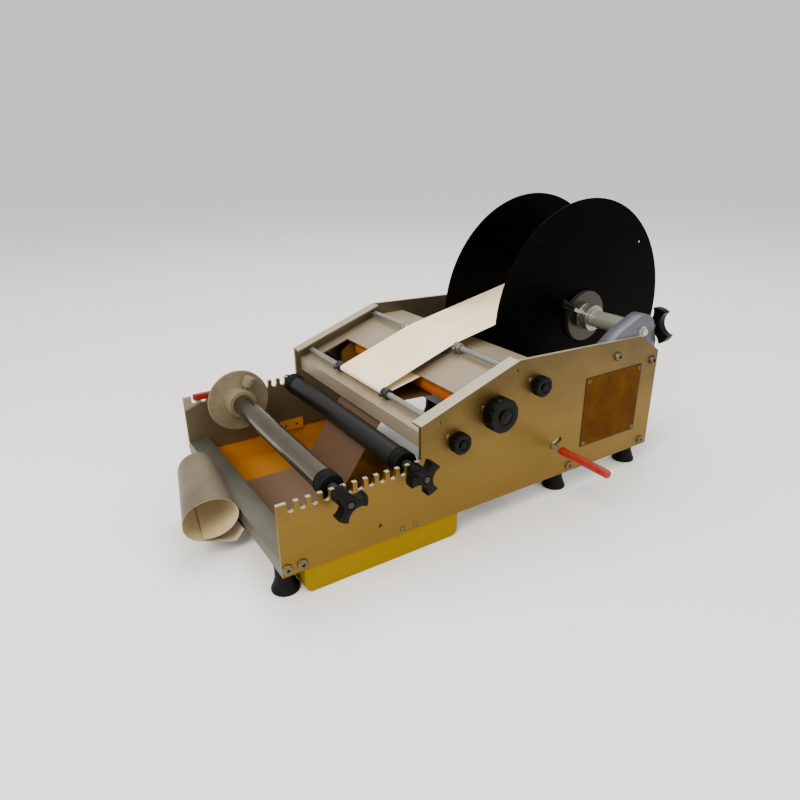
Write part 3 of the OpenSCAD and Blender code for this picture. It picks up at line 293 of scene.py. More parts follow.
def side_plate_sheet():
    """Mill-finished aluminium sheet, rolled along its length and smudged by handling. The
    outside carries a painted reflection of warm surroundings: gold, greyer and darker
    towards the ridge, with a painted highlight on the faces that look up. The inside
    carries painted shade, darker towards the rear, and painted light above the label table."""
    material, tree, shader, place = start_material("rolled_aluminium_sheet", 0.70, 0.42)
    lines = stretched(tree, place, (per(1.2), per(90.0), per(1.2)))
    rolled = noise(tree, lines, 1.0, 4.0, 0.6)
    smudge = noise(tree, place, per(85.0), 3.0, 0.55, 0.4)
    split = parts_of(tree, place)
    normal = normal_of(tree)

    low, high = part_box("side_plate_right")
    # Painted reflection: the outside is gold from warm surroundings, greyer and darker towards the
    # ridge.
    rise = spread(tree, split["Z"], low.z, high.z, 0.0, 0.75)
    tone = reckon(tree, "MULTIPLY_ADD", smudge, 0.50, rise)
    painted_reflection_gold = ramp(tree, tone, (0.15, "705411"), (0.55, "6F571B"), (0.95, "56441F"))
    streak = spread(tree, rolled, 0.3, 0.7, 0.90, 1.08)
    shaded = add(
        tree, "ShaderNodeVectorMath", {0: painted_reflection_gold, "Scale": streak}, operation="SCALE"
    ).outputs["Vector"]

    # Painted highlight: the light tone called bare is put on the faces that look up, above 62 mm.
    bare = colour("B7AA94")
    upward = spread(tree, normal["Z"], 0.5, 0.8)
    above_feet = spread(tree, split["Z"], ZERO.z + 0.062, ZERO.z + 0.070)
    outside = mixed(tree, reckon(tree, "MULTIPLY", upward, above_feet), shaded, bare)

    # Painted shade on the inside faces, a little darker towards the rear; the inside above the
    # label table and in front of the ridge takes the painted light tone.
    rearward = spread(tree, split["Y"], ZERO.y + 0.060, ZERO.y + 0.240)
    painted_inner_shade = mixed(tree, rearward, colour("6E624B"), colour("6A5F4B"))
    table_normal = (0.0, -math.sin(SLOPE), math.cos(SLOPE))
    table_level = at(0, *STEP).dot(Vector(table_normal))
    over_table = add(
        tree, "ShaderNodeVectorMath", {0: place, 1: table_normal}, operation="DOT_PRODUCT"
    ).outputs["Value"]
    worn_and_lit = spread(tree, over_table, table_level - 0.002, table_level + 0.002)
    ridge = ZERO.y + RIDGE_Y / 1000
    before_ridge = spread(tree, split["Y"], ridge, ridge + 0.010, 1.0, 0.0)
    inside = mixed(tree, reckon(tree, "MULTIPLY", worn_and_lit, before_ridge), painted_inner_shade, bare)

    base = mixed(tree, inward_share(tree, split, normal), outside, inside)
    tree.links.new(base, shader.inputs["Base Color"])
    tree.links.new(spread(tree, smudge, 0.3, 0.7, 0.36, 0.52), shader.inputs["Roughness"])
    relief(tree, shader, rolled, 0.10, 0.0002)
    return material


def spent_liner_paper():
    """Glassine liner with its silicone face: dull and mauve brown where it lies in
    the shade of the machine, and a greyer cream on the curl in front."""
    material = paper("glassine_liner", "645C49", "534B3B", 0.50, 1.5)
    tree, shader, cream, place = reopened(material)
    inside = spread(tree, parts_of(tree, place)["Y"], ZERO.y + 0.002, ZERO.y + 0.040)
    tree.links.new(mixed(tree, inside, cream, colour("58402C")), shader.inputs["Base Color"])
    return material


def drawn_rod():
    """Bright drawn steel rod, with its sawn ends left dull."""
    material = sheet_metal("bright_drawn_steel", "A9A9A3", "7D7C76", "YZ", 0.32, 0.75, 2.0, 0.04)
    tree, shader, bright, _ = reopened(material)
    end = spread(tree, reckon(tree, "ABSOLUTE", normal_of(tree)["X"]), 0.90, 0.96)
    tree.links.new(mixed(tree, end, bright, colour("5A4A22")), shader.inputs["Base Color"])
    return material


def tray_enamel():
    """Yellow stove enamel on the tray. Inside, a painted amber reflection, lighter on the
    sides against the shade they lie in and a deeper amber on the floor."""
    material = enamel("yellow_stove_enamel", "846900", "6C5200", 0.62, coat=0.0, specular=0.06)
    tree, shader, yellow, place = reopened(material)
    normal = normal_of(tree)
    inward = inward_share(tree, parts_of(tree, place), normal)
    # Painted light and reflection: the inside sides are painted a light amber against their shade,
    # and the floor a deeper amber.
    painted_light_walls = mixed(tree, inward, yellow, colour("B8761A"))
    upward = spread(tree, normal["Z"], 0.4, 0.9)
    tree.links.new(mixed(tree, upward, painted_light_walls, colour("96611A")), shader.inputs["Base Color"])
    return material


def polished_disc():
    """Black acrylic sheet, cut to a disc and flame polished: near black, with faint
    hair scratches, and finger haze in the roughness only."""
    material, tree, shader, place = start_material("black_acrylic", 0.0, 0.10, 1.49)
    shader.inputs["Specular IOR Level"].default_value = 0.02
    haze = noise(tree, place, per(60.0), 5.0, 0.65)
    hair = stretched(tree, place, (per(3.0), per(90.0), per(1.5)))
    scratches = noise(tree, hair, 1.0, 2.0, 0.8)
    base = ramp(tree, scratches, (0.55, "020202"), (0.85, "0B0A09"))
    tree.links.new(base, shader.inputs["Base Color"])
    tree.links.new(spread(tree, haze, 0.3, 0.8, 0.30, 0.44), shader.inputs["Roughness"])
    return material


def wound_edge():
    """The roll of labels: paper wound in turns, whose edges draw fine rings."""
    turn_mm = 12.0
    material, tree, shader, place = start_material("wound_label_paper", 0.0, 0.62, 1.45)
    centred = add(
        tree, "ShaderNodeMapping",
        {"Vector": place, "Location": -at(0, *SPINDLE_AXIS)}, vector_type="POINT",
    )
    rings = add(
        tree, "ShaderNodeTexWave",
        {"Vector": centred.outputs["Vector"], "Scale": per(turn_mm), "Distortion": 0.3},
        wave_type="RINGS", rings_direction="X",
    )
    base = ramp(tree, rings.outputs["Fac"], (0.0, "C9BFA6"), (1.0, "EFE8D8"))
    tree.links.new(base, shader.inputs["Base Color"])
    return material


def bare_name_plate():
    """Anodised and stained foil, left bare: brown gold with a cloudy stain."""
    material, tree, shader, place = start_material("stained_anodised_foil", 0.0, 0.55)
    shader.inputs["Specular IOR Level"].default_value = 0.03
    stain = noise(tree, place, per(30.0), 5.0, 0.6, 0.6)
    base = ramp(tree, stain, (0.35, "442600"), (0.70, "563402"))
    tree.links.new(base, shader.inputs["Base Color"])
    return material


finishes = {
    "plate": side_plate_sheet(),
    "bar": sheet_metal("sawn_aluminium_bar", "68675A", "434136", "YZ", 0.48, 0.6),
    "rubber": moulded("black_nitrile_rubber", "050505", "141311", 0.55, specular=0.12),
    # The screws' dim brown gold is a painted reflection of warm surroundings.
    "screw": sheet_metal("zinc_plated_steel", "6E6248", "42392A", "XYZ", 0.40, 0.85, 1.5, 0.05),
    "tray": tray_enamel(),
    "table": sheet_metal("stainless_table_sheet", "A0927C", "837662", "X", 0.42, 0.35),
    "rod": drawn_rod(),
    "collar": moulded("dark_acetal", "1A1D1A", "30332F", 0.42),
    "sensor": moulded("black_polyamide", "0A0A0A", "1C1C1C", 0.50),
    "web": paper("cream_label_paper", "FFEEC8", "F6E0B8", 0.60, 1.2),
    "liner": spent_liner_paper(),
    "tube": sheet_metal("polished_aluminium_tube", "6F6559", "4E463C", "YZ", 0.20, 0.92, 6.0, 0.02),
    "sleeve": moulded("polished_black_rubber", "060606", "0C0C0C", 0.36, 3.0, 0.005, specular=0.30),
    "knob": moulded("black_phenolic", "050504", "12100D", 0.34, specular=0.09),
    "stop": moulded("cream_acetal", "736A53", "5E553F", 0.48, specular=0.20),
    "shaft": sheet_metal("ground_steel_shaft", "DAD8D0", "A6A49C", "X", 0.24, 0.9, 1.0, 0.05),
    "polyurethane": moulded("orange_polyurethane", "C25C06", "CE7A20", 0.34, 1.6, 0.10, 1.48),
    "gear": sheet_metal("machined_brass", "A98440", "765820", "YZ", 0.30, 0.9, 0.8, 0.10),
    "steel": sheet_metal("plated_mild_steel", "94928C", "68665F", "Y", 0.34, 0.85),
    "bush": sheet_metal("oiled_cast_iron", "403E3A", "22211F", "XYZ", 0.48, 0.7, 1.6, 0.2),
    "red": moulded("red_dipped_vinyl", "801607", "94321F", 0.40, 2.4, 0.08),
    "motor": enamel("charcoal_motor_enamel", "202325", "3E4143", 0.42),
    "arm": sheet_metal("painted_arm_plate", "54585F", "43474E", "Y", 0.36, 0.30, 1.2, 0.06),
    "hub": sheet_metal("turned_aluminium_hub", "ACAAA5", "66645F", "X", 0.28, 0.85, 0.8, 0.10),
    "disc": polished_disc(),
    "panel": bare_name_plate(),
    "box": enamel("grey_box_enamel", "6E7174", "54565A", 0.45),
    "switch": moulded("black_switch_plastic", "0A0A0A", "181818", 0.28),
}
wound_paper = wound_edge()
# Painted reflection: the hub's outer flange is painted dark for the dark surroundings its metal
# mirrors.
hub_flange = sheet_metal("flange_painted_dark_reflection", "45433D", "24221E", "X", 0.26, 0.7, 1.0, 0.06)
# Painted light: the inside of the curl is painted a light cream for the light that passes through
# the glassine and bounces inside the curl.
curl_painted_light = paper("glassine_curl_painted_light", "C8B691", "B4A37C", 0.60, 1.5)
core_board = paper("spiral_core_board", "8E6F44", "6F522E", 0.80, 2.0)
dark_border = moulded("printed_black_border", "1C1204", "2A1C0A", 0.50)
spindle_tube = sheet_metal(
    "polished_spindle_tube", "B2B4AA", "9EA096", "YZ", 0.24, 0.60, 6.0, 0.005
)
chromated = sheet_metal("chromated_bracket_sheet", "8A5E1C", "6A4612", "Y", 0.50, 0.4)

own_finish = {"spindle": spindle_tube, "gear_bracket": chromated}
for node_name, thing in nodes.items():
    finish = own_finish.get(node_name, finishes[slot_of[node_name]])
    for holder in thing.material_slots:
        holder.material = finish

# Modelling


def deselect():
    if bpy.context.object and bpy.context.object.mode != "OBJECT":
        bpy.ops.object.mode_set(mode="OBJECT")
    bpy.ops.object.select_all(action="DESELECT")


def choose(*things):
    deselect()
    for thing in things:
        thing.select_set(True)
    bpy.context.view_layer.objects.active = things[0]


def apply_modifier(piece, kind, **settings):
    choose(piece)
    bpy.ops.object.modifier_add(type=kind)
    modifier = piece.modifiers[-1]
    for key, value in settings.items():
        setattr(modifier, key, value)
    bpy.ops.object.modifier_apply(modifier=modifier.name)


def soften(piece, width, steps=2, angle=35):
    """Breaks the sharp edges of a piece, width in millimetres."""
    apply_modifier(
        piece, "BEVEL", width=width / 1000, segments=steps,
        limit_method="ANGLE", angle_limit=math.radians(angle), harden_normals=False,
    )


def turn(name, rings, sides, closed=False):
    """Lathe work along Z. Rings are (height, radius) in millimetres, and a closed
    one ends where it began, so it has a bore."""
    deselect()
    height, radius = rings[0]
    bpy.ops.mesh.primitive_circle_add(
        vertices=sides, radius=radius / 1000, location=(0, 0, 0), enter_editmode=True
    )
    piece = bpy.context.object
    piece.name = name
    bpy.ops.mesh.select_all(action="SELECT")
    bpy.ops.transform.translate(value=(0, 0, height / 1000))
    for next_height, next_radius in list(rings[1:]) + ([rings[0]] if closed else []):
        bpy.ops.mesh.extrude_region_move(
            TRANSFORM_OT_translate={"value": (0, 0, (next_height - height) / 1000)}
        )
        grow = next_radius / radius
        bpy.ops.transform.resize(
            value=(grow, grow, 1), center_override=(0, 0, next_height / 1000)
        )
        height, radius = next_height, next_radius
    bpy.ops.mesh.select_all(action="SELECT")
    bpy.ops.mesh.remove_doubles(threshold=0.000002)
    if not closed:
        bpy.ops.mesh.fill_holes(sides=0)
    bpy.ops.mesh.select_all(action="SELECT")
    bpy.ops.mesh.normals_make_consistent(inside=False)
    bpy.ops.object.mode_set(mode="OBJECT")
    return piece


def settle(piece):
    """Puts the place, turn and scale of a piece into its mesh."""
    choose(piece)
    bpy.ops.object.transform_apply(location=True, rotation=True, scale=True)


def block(name, low, high):
    """A rectangular blank between two corners in machine millimetres."""
    deselect()
    a, b = at(*low), at(*high)
    bpy.ops.mesh.primitive_cube_add(size=1, location=(a + b) / 2)
    piece = bpy.context.object
    piece.name = name
    piece.scale = b - a
    settle(piece)
    return piece


def lay(piece, point, axis, spin=0.0):
    """Moves a piece made along Z to a point, with its Z along an axis."""
    turned = {
        "X": Matrix.Rotation(math.radians(90), 4, "Y"),
        "-X": Matrix.Rotation(math.radians(-90), 4, "Y"),
        "Y": Matrix.Rotation(math.radians(-90), 4, "X"),
        "Z": Matrix.Identity(4),
        "-Z": Matrix.Rotation(math.radians(180), 4, "X"),
    }[axis]
    piece.matrix_world = (
        Matrix.Translation(point) @ turned @ Matrix.Rotation(math.radians(spin), 4, "Z")
    )
    settle(piece)
    return piece


def tip(piece, point, degrees):
    """Moves a piece made along Z to a point, turned about the machine's X."""
    piece.matrix_world = Matrix.Translation(point) @ Matrix.Rotation(
        math.radians(degrees), 4, "X"
    )
    settle(piece)
    return piece


def copy_of(piece, name):
    twin = piece.copy()
    twin.data = piece.data.copy()
    twin.name = name
    bpy.context.scene.collection.objects.link(twin)
    return twin


def join(name, pieces):
    choose(*pieces)
    bpy.ops.object.join()
    whole = bpy.context.object
    whole.name = name
    return whole


def cut_away(piece, tools):
    tool = join("tool", tools) if len(tools) > 1 else tools[0]
    apply_modifier(piece, "BOOLEAN", object=tool, operation="DIFFERENCE", solver="EXACT")
    bpy.data.objects.remove(tool)


def fuse(piece, other):
    apply_modifier(piece, "BOOLEAN", object=other, operation="UNION", solver="EXACT")
    bpy.data.objects.remove(other)


def cutters_around(count, distance, rings, sides, first=0.0):
    """Round cutters in a ring about Z, the first at an angle in degrees."""
    cutters = []
    for index in range(count):
        cutter = turn("tool", rings, sides)
        turned = math.radians(first + 360 * index / count)
        cutter.location = Vector((math.cos(turned), math.sin(turned), 0)) * distance / 1000
        settle(cutter)
        cutters.append(cutter)
    return cutters


def dress(piece, finish, body, slot, *stands_for):
    """Gives a finished piece its material, its body and what it stands for."""
    smooth_under = 32
    choose(piece)
    bpy.ops.object.shade_smooth_by_angle(angle=math.radians(smooth_under))
    piece.data.materials.clear()
    piece.data.materials.append(finish)
    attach(piece, body)
    if stands_for:
        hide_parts(*stands_for)
    return piece


def second_finish(piece, finish, chosen):
    """A second material for the faces whose middle and normal pass a test."""
    piece.data.materials.append(finish)
    for face in piece.data.polygons:
        if chosen(face.center - ZERO, face.normal):
            face.material_index = 1


def softened_node(node_name, width):
    """A copy of a CAD node with its edges broken, as a file leaves them."""
    piece = copy_of(nodes[node_name], node_name + "_edged")
    piece.parent = None
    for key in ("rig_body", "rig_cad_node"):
        if key in piece:
            del piece[key]
    choose(piece)
    bpy.ops.object.mode_set(mode="EDIT")
    bpy.ops.mesh.select_all(action="SELECT")
    bpy.ops.mesh.remove_doubles(threshold=0.000002)
    bpy.ops.mesh.customdata_custom_splitnormals_clear()
    bpy.ops.mesh.dissolve_limited(angle_limit=math.radians(1.5))
    bpy.ops.object.mode_set(mode="OBJECT")
    soften(piece, width, 2, 40)
    return piece


# Clamp knobs of the two bottle rollers


def clamp_knob(name, radius, waist, scoop, thick, boss_radius, boss_length):
    """A three-lobed phenolic knob, its back at Z 0."""
    front = boss_length + thick
    knob = turn(name, [(boss_length, radius), (front, radius)], 72)
    scoops = [(boss_length - 4, scoop), (front + 4, scoop)]
    cut_away(knob, cutters_around(3, waist + scoop, scoops, 64, 60))
    soften(knob, 2.2, 4, 30)
    if boss_length > 0:
        rings = [(0, boss_radius), (1.2, boss_radius + 0.6), (boss_length - 2, boss_radius),
                 (boss_length + 1, boss_radius)]
        fuse(knob, turn("boss", rings, 40))
    cut_away(knob, [turn("tool", [(front - 2.0, 5.2), (front + 3, 5.8)], 32)])
    return knob


knob_master = clamp_knob("clamp_master", 21.0, 8.0, 14.5, 13.0, 9.0, 16.0)
knob_from, tip_from = HALF_WIDTH + 0.2, HALF_WIDTH + 19.0
for node_name, axle, body, lobe_turn in (
    ("front_clamp_knob", FRONT_AXLE, "front_clamp", 90),
    ("rear_clamp_knob", REAR_AXLE, "rear_clamp", 143),
):
    knob = copy_of(knob_master, node_name.replace("_clamp_knob", "_lobed_knob"))
    lay(knob, at(knob_from, *axle), "X", lobe_turn)
    screw_tip = turn(node_name + "_tip", [(0, 4.0), (10.4, 4.0), (11.0, 3.4)], 28)
    lay(screw_tip, at(tip_from, *axle), "X")
    dress(screw_tip, finishes["bush"], body, "bush")
    dress(knob, finishes["knob"], body, "knob", node_name)
bpy.data.objects.remove(knob_master)

# Scalloped knobs of the shafts


def scalloped_knob(name, radius, thick, scallop, count):
    body = [(0, radius * 0.93), (1.2, radius), (thick - 1.6, radius), (thick, radius - 1.6)]
    dish = [(thick - 1.4, radius * 0.50), (thick + 3, radius * 0.66)]
    dial = [(thick - 2.4, radius * 0.38), (thick + 0.9, radius * 0.38),
            (thick + 1.5, radius * 0.33)]
    knob = turn(name, body, 96)
    notches = [(-3, scallop), (thick + 3, scallop)]
    cut_away(knob, cutters_around(count, radius + scallop * 0.5, notches, 20))
    cut_away(knob, [turn("tool", dish, 48)])
    fuse(knob, turn("dial", dial, 40))
    soften(knob, 0.5, 2, 40)
    return knob


big_knob, small_knob = (22.0, 18.0, 3.0, 12), (13.5, 12.0, 2.0, 8)
for node_name, axis_place, reach, size, body in (
    ("drive_knob", DRIVE_AXIS, 4.0, big_knob, "drive"),
    ("exit_knob", EXIT_AXIS, 2.5, small_knob, "exit_guide"),
    ("nip_knob", PIVOT_AXIS, 2.5, small_knob, "nip_setting"),
):
    knob = scalloped_knob(node_name + "_fluted", *size)
    lay(knob, at(HALF_WIDTH + reach, *axis_place), "X")
    dress(knob, finishes["knob"], body, "knob", node_name)

# Brake knob behind the right reel arm

arm_middle, brake_from, stem_from = 165.0, 602.0, 579.0
spindle_height = SPINDLE_AXIS[1]
brake = clamp_knob("brake_lobed_knob", 27.0, 10.0, 17.5, 12.0, 0, 0)
lay(brake, at(arm_middle, brake_from, spindle_height), "Y", -78)
stem = turn("brake_stem", [(0, 3.4), (1, 4.0), (24, 4.0)], 28)
lay(stem, at(arm_middle, stem_from, spindle_height), "Y")
dress(stem, finishes["shaft"], "brake", "shaft")
dress(brake, finishes["knob"], "brake", "knob", "brake_knob")

# Screws and bolts


def button_screw(name, head_radius, head_height, shank_radius, length, socket):
    """A button-head screw with a hexagon socket, its head above Z 0."""
    r, h = head_radius, head_height
    dome = [(0.45, 0.96), (0.75, 0.80), (0.94, 0.58), (1.0, 0.40)]
    rings = [(-length, shank_radius), (0, shank_radius), (0.01, r - 0.3), (0.35, r)]
    screw = turn(name, rings + [(h * high, r * wide) for high, wide in dome], 32)
    cut_away(screw, [turn("tool", [(h * 0.35, socket), (h + 2, socket)], 6)])
    return screw


def on_both_plates(master, places, stem_name):
    copies = []
    for index, (y, z) in enumerate(places):
        for axis, x in (("X", HALF_WIDTH), ("-X", -HALF_WIDTH)):
            twin = copy_of(master, f"{stem_name}_{index}_{axis}")
            copies.append(lay(twin, at(x, y, z), axis, 17 * index + 5))
    return copies


def copies_at(master, stem_name, places, axis):
    """Copies at places of x, y and z, each with its spin in degrees."""
    copies = []
    for index, (x, y, z, spin) in enumerate(places):
        twin = copy_of(master, f"{stem_name}_{index}")
        copies.append(lay(twin, at(x, y, z), axis, spin))
    return copies


bolt_y, bolt_z, foot_screw_z = (6, 24, *FOOT_Y[1:]), 9.5, -26.0
foot_places = [(x, y) for y in FOOT_Y for x in (-FOOT_X, FOOT_X)]
bolt = button_screw("bolt_master", 6.6, 3.6, 3.0, 8.0, 2.3)
plate_bolts = on_both_plates(bolt, [(y, bolt_z) for y in bolt_y], "plate_bolt")
plate_bolts += copies_at(
    bolt, "foot_bolt", [(x, y, foot_screw_z, 12) for x, y in foot_places], "-Z"
)
bpy.data.objects.remove(bolt)
dress(join("frame_button_bolts", plate_bolts), finishes["screw"], "base", "screw", "frame_bolts")

small = button_screw("small_master", 3.4, 1.8, 2.0, 4.0, 1.2)
block_places = []
for (y, z), (dy, dz) in ((EXIT_AXIS, (-12, 8.5)), (DRIVE_AXIS, (-16, 8)), (PIVOT_AXIS, (-12, 8.5))):
    block_places += [(y + dy, z + dz), (y - dy, z - dz)]
tray_places = [(155, 6), (174, 6)]
panel_places = [(HALF_WIDTH + 1, y, z, y) for y in (457, 560) for z in (38, 131)]
post_places = [(-HALF_WIDTH, y, z, z) for y, z in ((262, 112), (268, 90), (378, 90), (378, 130))]
little = on_both_plates(small, block_places + tray_places, "block_screw")
little += copies_at(small, "panel_screw", panel_places, "X")
little += copies_at(small, "post_screw", post_places, "-X")
bpy.data.objects.remove(small)
dress(join("small_socket_screws", little), finishes["screw"], "base", "screw", "small_screws")

cap_screw = button_screw("cap_master", 6.5, 5.0, 4.0, 10.0, 3.0)
caps = on_both_plates(cap_screw, [(511, 156.6), (588, 137)], "cap_screw")
bpy.data.objects.remove(cap_screw)
dress(join("reel_arm_cap_screws", caps), finishes["screw"], "base", "screw", "arm_screws")

# Feet

foot_master = turn(
    "foot_master",
    [(-26.0, 8.0), (-33.4, 8.0), (GROUND, 8.8), (GROUND, 15.6), (-33.2, 16.5), (-31.0, 16.5),
     (-29.8, 15.9), (-26.0, 14.2), (-21.0, 12.4), (-16.0, 11.0), (-8.6, 10.9), (-7.8, 10.2),
     (-6.4, 10.2), (-5.6, 10.9), (-0.9, 11.0), (0.0, 10.2), (0.0, 3.3), (-26.0, 3.3)],
    40, closed=True,
)
feet = copies_at(foot_master, "foot", [(x, y, 0, 0) for x, y in foot_places], "Z")
bpy.data.objects.remove(foot_master)
dress(join("ribbed_rubber_feet", feet), finishes["rubber"], "base", "rubber", "rubber_feet")

# Bottle rollers: grooved rubber caps on a turned tube

cap_from = 146.0
cap_rings = [
    (0.0, 12.0), (0.0, 15.0), (0.5, 15.5), (2.6, 15.5), (3.0, 14.9), (3.8, 14.9),
    (4.2, 15.5), (12.4, 15.5), (12.8, 14.9), (13.6, 14.9), (14.0, 15.5), (17.2, 15.5),
    (18.0, 14.6), (18.0, 9.0), (16.4, 8.4), (16.4, 4.1), (0.0, 4.1),
]
tube_rings = [
    (-cap_from, 12.6), (-cap_from, 14.1), (-145.6, 14.5), (145.6, 14.5), (cap_from, 14.1),
    (cap_from, 12.6),
]
bottle_rollers = (("front_roller", FRONT_AXLE), ("rear_roller", REAR_AXLE))
for roller, axle in bottle_rollers:
    ends = []
    for axis, x in (("X", cap_from), ("-X", -cap_from)):
        ring = turn(f"{roller}_caps_{axis}", cap_rings, 56, closed=True)
        ends.append(lay(ring, at(x, *axle), axis))
    whole = join(roller + "_caps_grooved", ends)
    dress(whole, finishes["rubber"], roller, "rubber", roller + "_caps")
for roller, axle in bottle_rollers:
    tube = turn(roller + "_tube_turned", tube_rings, 72, closed=True)
    lay(tube, at(0, *axle), "X")
    tube_slot = slot_of[roller + "_tube"]
    dress(tube, finishes[tube_slot], roller, tube_slot, roller + "_tube")

# Bottle stop: a cream acetal disc with a clamping screw

stop = turn(
    "stop_plate",
    [(-144.0, 14.6), (-144.0, 45.2), (-143.3, 46.0), (-140.7, 46.0), (-140.0, 45.2),
     (-140.0, 22.5), (-139.4, 21.4), (-138.6, 21.0), (-123.0, 21.0), (-122.0, 20.0),
     (-122.0, 14.6)],
    72, closed=True,
)
lay(stop, at(0, *FRONT_AXLE), "X")
grip = turn("stop_grip", [(25.0, 6.6), (26.4, 8.0), (39.4, 8.0), (41.0, 6.4)], 48)
cut_away(grip, cutters_around(10, 8.3, [(24.0, 0.9), (42.0, 0.9)], 12))
soften(grip, 0.25, 1, 40)
shank = turn("stop_shank", [(15.2, 2.0), (15.6, 2.5), (25.5, 2.5)], 20)
screw = tip(join("stop_thumb_screw", [grip, shank]), at(-131.0, *FRONT_AXLE), -25)
dress(screw, finishes["stop"], "bottle_stop", "stop")
dress(stop, finishes["stop"], "bottle_stop", "stop", "stop_disc")

# Guide collars with their thumb screws


def on_slope(along, deep):
    """A place in the side view, along the slope from the step and under it."""
    return (
        STEP[0] + along * math.cos(SLOPE) + deep * math.sin(SLOPE),
        STEP[1] + along * math.sin(SLOPE) - deep * math.cos(SLOPE),
    )


FRONT_ROD, REAR_ROD = on_slope(22, 10), on_slope(146, 10)
collar_from, pin_x, pin_forward = 58.5, 64.5, 4.3
ring_rings = [
    (0.0, 4.1), (0.0, 6.4), (0.6, 7.0), (2.6, 7.0), (3.0, 6.5), (3.6, 6.5), (4.0, 7.0),
    (11.4, 7.0), (12.0, 6.4), (12.0, 4.1),
]
pin_rings = [(0, 1.4), (0.4, 1.6), (3.2, 1.6), (3.2, 2.6), (6.6, 2.6), (7.0, 2.2)]
for row, rod in (("front", FRONT_ROD), ("rear", REAR_ROD)):
    for hand, side, axis in (("right", 1, "X"), ("left", -1, "-X")):
        node_name = f"{row}_collar_{hand}"
        ring = turn(node_name + "_ring", ring_rings, 40, closed=True)
        lay(ring, at(collar_from * side, *rod), axis)
        pin = turn(node_name + "_pin", pin_rings, 20)
        tip(pin, at(pin_x * side, rod[0] - pin_forward, rod[1]), 90)
        whole = join(node_name + "_clamped", [ring, pin])
        collar_slot = slot_of[node_name]
        dress(whole, finishes[collar_slot], f"collar_{row}_{hand}", collar_slot, node_name)

# Label web and spent liner


def tangent_turn(c1, r1, c2, r2, side):
    """The angle at which a line leaves one circle for another. A negative radius
    is a circle that the line passes on its other side."""
    dx, dy = c2[0] - c1[0], c2[1] - c1[1]
    return math.degrees(math.atan2(dy, dx)) + side * math.degrees(
        math.acos((r1 - r2) / math.hypot(dx, dy))
    )


def swing(centre, radius, first, last, step):
    """Points round a centre from one angle to another, in steps of some degrees."""
    count = max(1, math.ceil(abs(last - first) / step))
    turns = [first + (last - first) * i / count for i in range(count + 1)]
    return [
        (
            centre[0] + radius * math.cos(math.radians(a)),
            centre[1] + radius * math.sin(math.radians(a)),
        )
        for a in turns
    ]


# How far outside each roller and rod the middle of the sheet runs
OFF = 0.5
ROLL_R, ROD_R, DRIVE_R, EXIT_R = 46 + OFF, 4 + OFF, 18 + OFF, 9 + OFF
roll_turn = tangent_turn(SPINDLE_AXIS, ROLL_R, REAR_ROD, ROD_R, -1) + 360
rods_turn = tangent_turn(REAR_ROD, ROD_R, FRONT_ROD, ROD_R, -1) + 360
peel_turn = tangent_turn(FRONT_ROD, ROD_R, DRIVE_AXIS, -DRIVE_R, -1) + 360
exit_turn = tangent_turn(DRIVE_AXIS, DRIVE_R, EXIT_AXIS, -EXIT_R, 1)
over_rear_rod = swing(REAR_ROD, ROD_R, roll_turn, rods_turn, 3)
round_front_rod = swing(FRONT_ROD, ROD_R, rods_turn, peel_turn, 6)
web_route = (
    swing(SPINDLE_AXIS, ROLL_R, roll_turn - 24, roll_turn, 3)
    + over_rear_rod
    + round_front_rod
    + swing(DRIVE_AXIS, DRIVE_R, peel_turn - 180, -40, 4)
)

# The liner leaves the exit roller, sags to the level of the notch in the tray's front
# wall and runs out through it
out_turn = 200
leave = swing(EXIT_AXIS, EXIT_R, out_turn, out_turn, 1)[0]
shelf = -6.0
flat_from = (112.0, shelf)
sag_points = 36
sag = []
for index in range(1, sag_points + 1):
    part = index / sag_points
    drop = 0.5 - 0.5 * math.cos(math.pi * part)
    sag.append((
        leave[0] + (flat_from[0] - leave[0]) * part,
        leave[1] + (flat_from[1] - leave[1]) * drop,
    ))


def curl_edge(fold, centre, half_long, half_high):
    """One edge of the curl in the side view: a soft fold, then a shrinking oval."""
    steps, wound, shrink = 96, math.radians(355), 0.071
    dy, dz = (fold[0] - centre[0]) * half_high / half_long, fold[1] - centre[1]
    start = math.atan2(dz, dy) - math.acos(half_high / math.hypot(dy, dz))
    oval = []
    for index in range(steps + 1):
        part = index / steps
        angle, grow = start - wound * part, 1 - shrink * part
        oval.append((
            centre[0] + grow * half_long * math.cos(angle),
            centre[1] + grow * half_high * math.sin(angle),
        ))
    before, after = (0.0, shelf), oval[0]
    folded = []
    for index in range(7):
        t = 0.2 + 0.6 * index / 6
        folded.append(tuple(
            (1 - t) ** 2 * (fold[k] + 0.35 * (before[k] - fold[k]))
            + 2 * t * (1 - t) * fold[k]
            + t ** 2 * (fold[k] + 0.16 * (after[k] - fold[k]))
            for k in (0, 1)
        ))
    return folded + oval


liner_run = (
    swing(DRIVE_AXIS, DRIVE_R, -44, exit_turn, 4)
    + swing(EXIT_AXIS, EXIT_R, exit_turn + 180, out_turn, 5)
    + sag
    + [(80.0, shelf), (40.0, shelf), (0.0, shelf)]
)
right_curl, left_curl = (-37.5, 21.5), (-21.5, 33.0)
liner_right = liner_run + curl_edge((-12.0, -20.0), right_curl, 35.0, 27.5)
liner_left = liner_run + curl_edge((-8.0, -8.0), left_curl, 25.0, 25.0)


def edge_line(name, route, x):
    """The edge of a sheet as a line of mesh points in the side view."""
    line = bpy.data.curves.new(name, "CURVE")
    line.dimensions = "3D"
    spline = line.splines.new("POLY")
    spline.points.add(len(route) - 1)
    for point, (y, z) in zip(spline.points, route):
        point.co = (*at(x, y, z), 1)
    edge = bpy.data.objects.new(name, line)
    bpy.context.scene.collection.objects.link(edge)
    choose(edge)
    bpy.ops.object.convert(target="MESH")
    return bpy.context.object


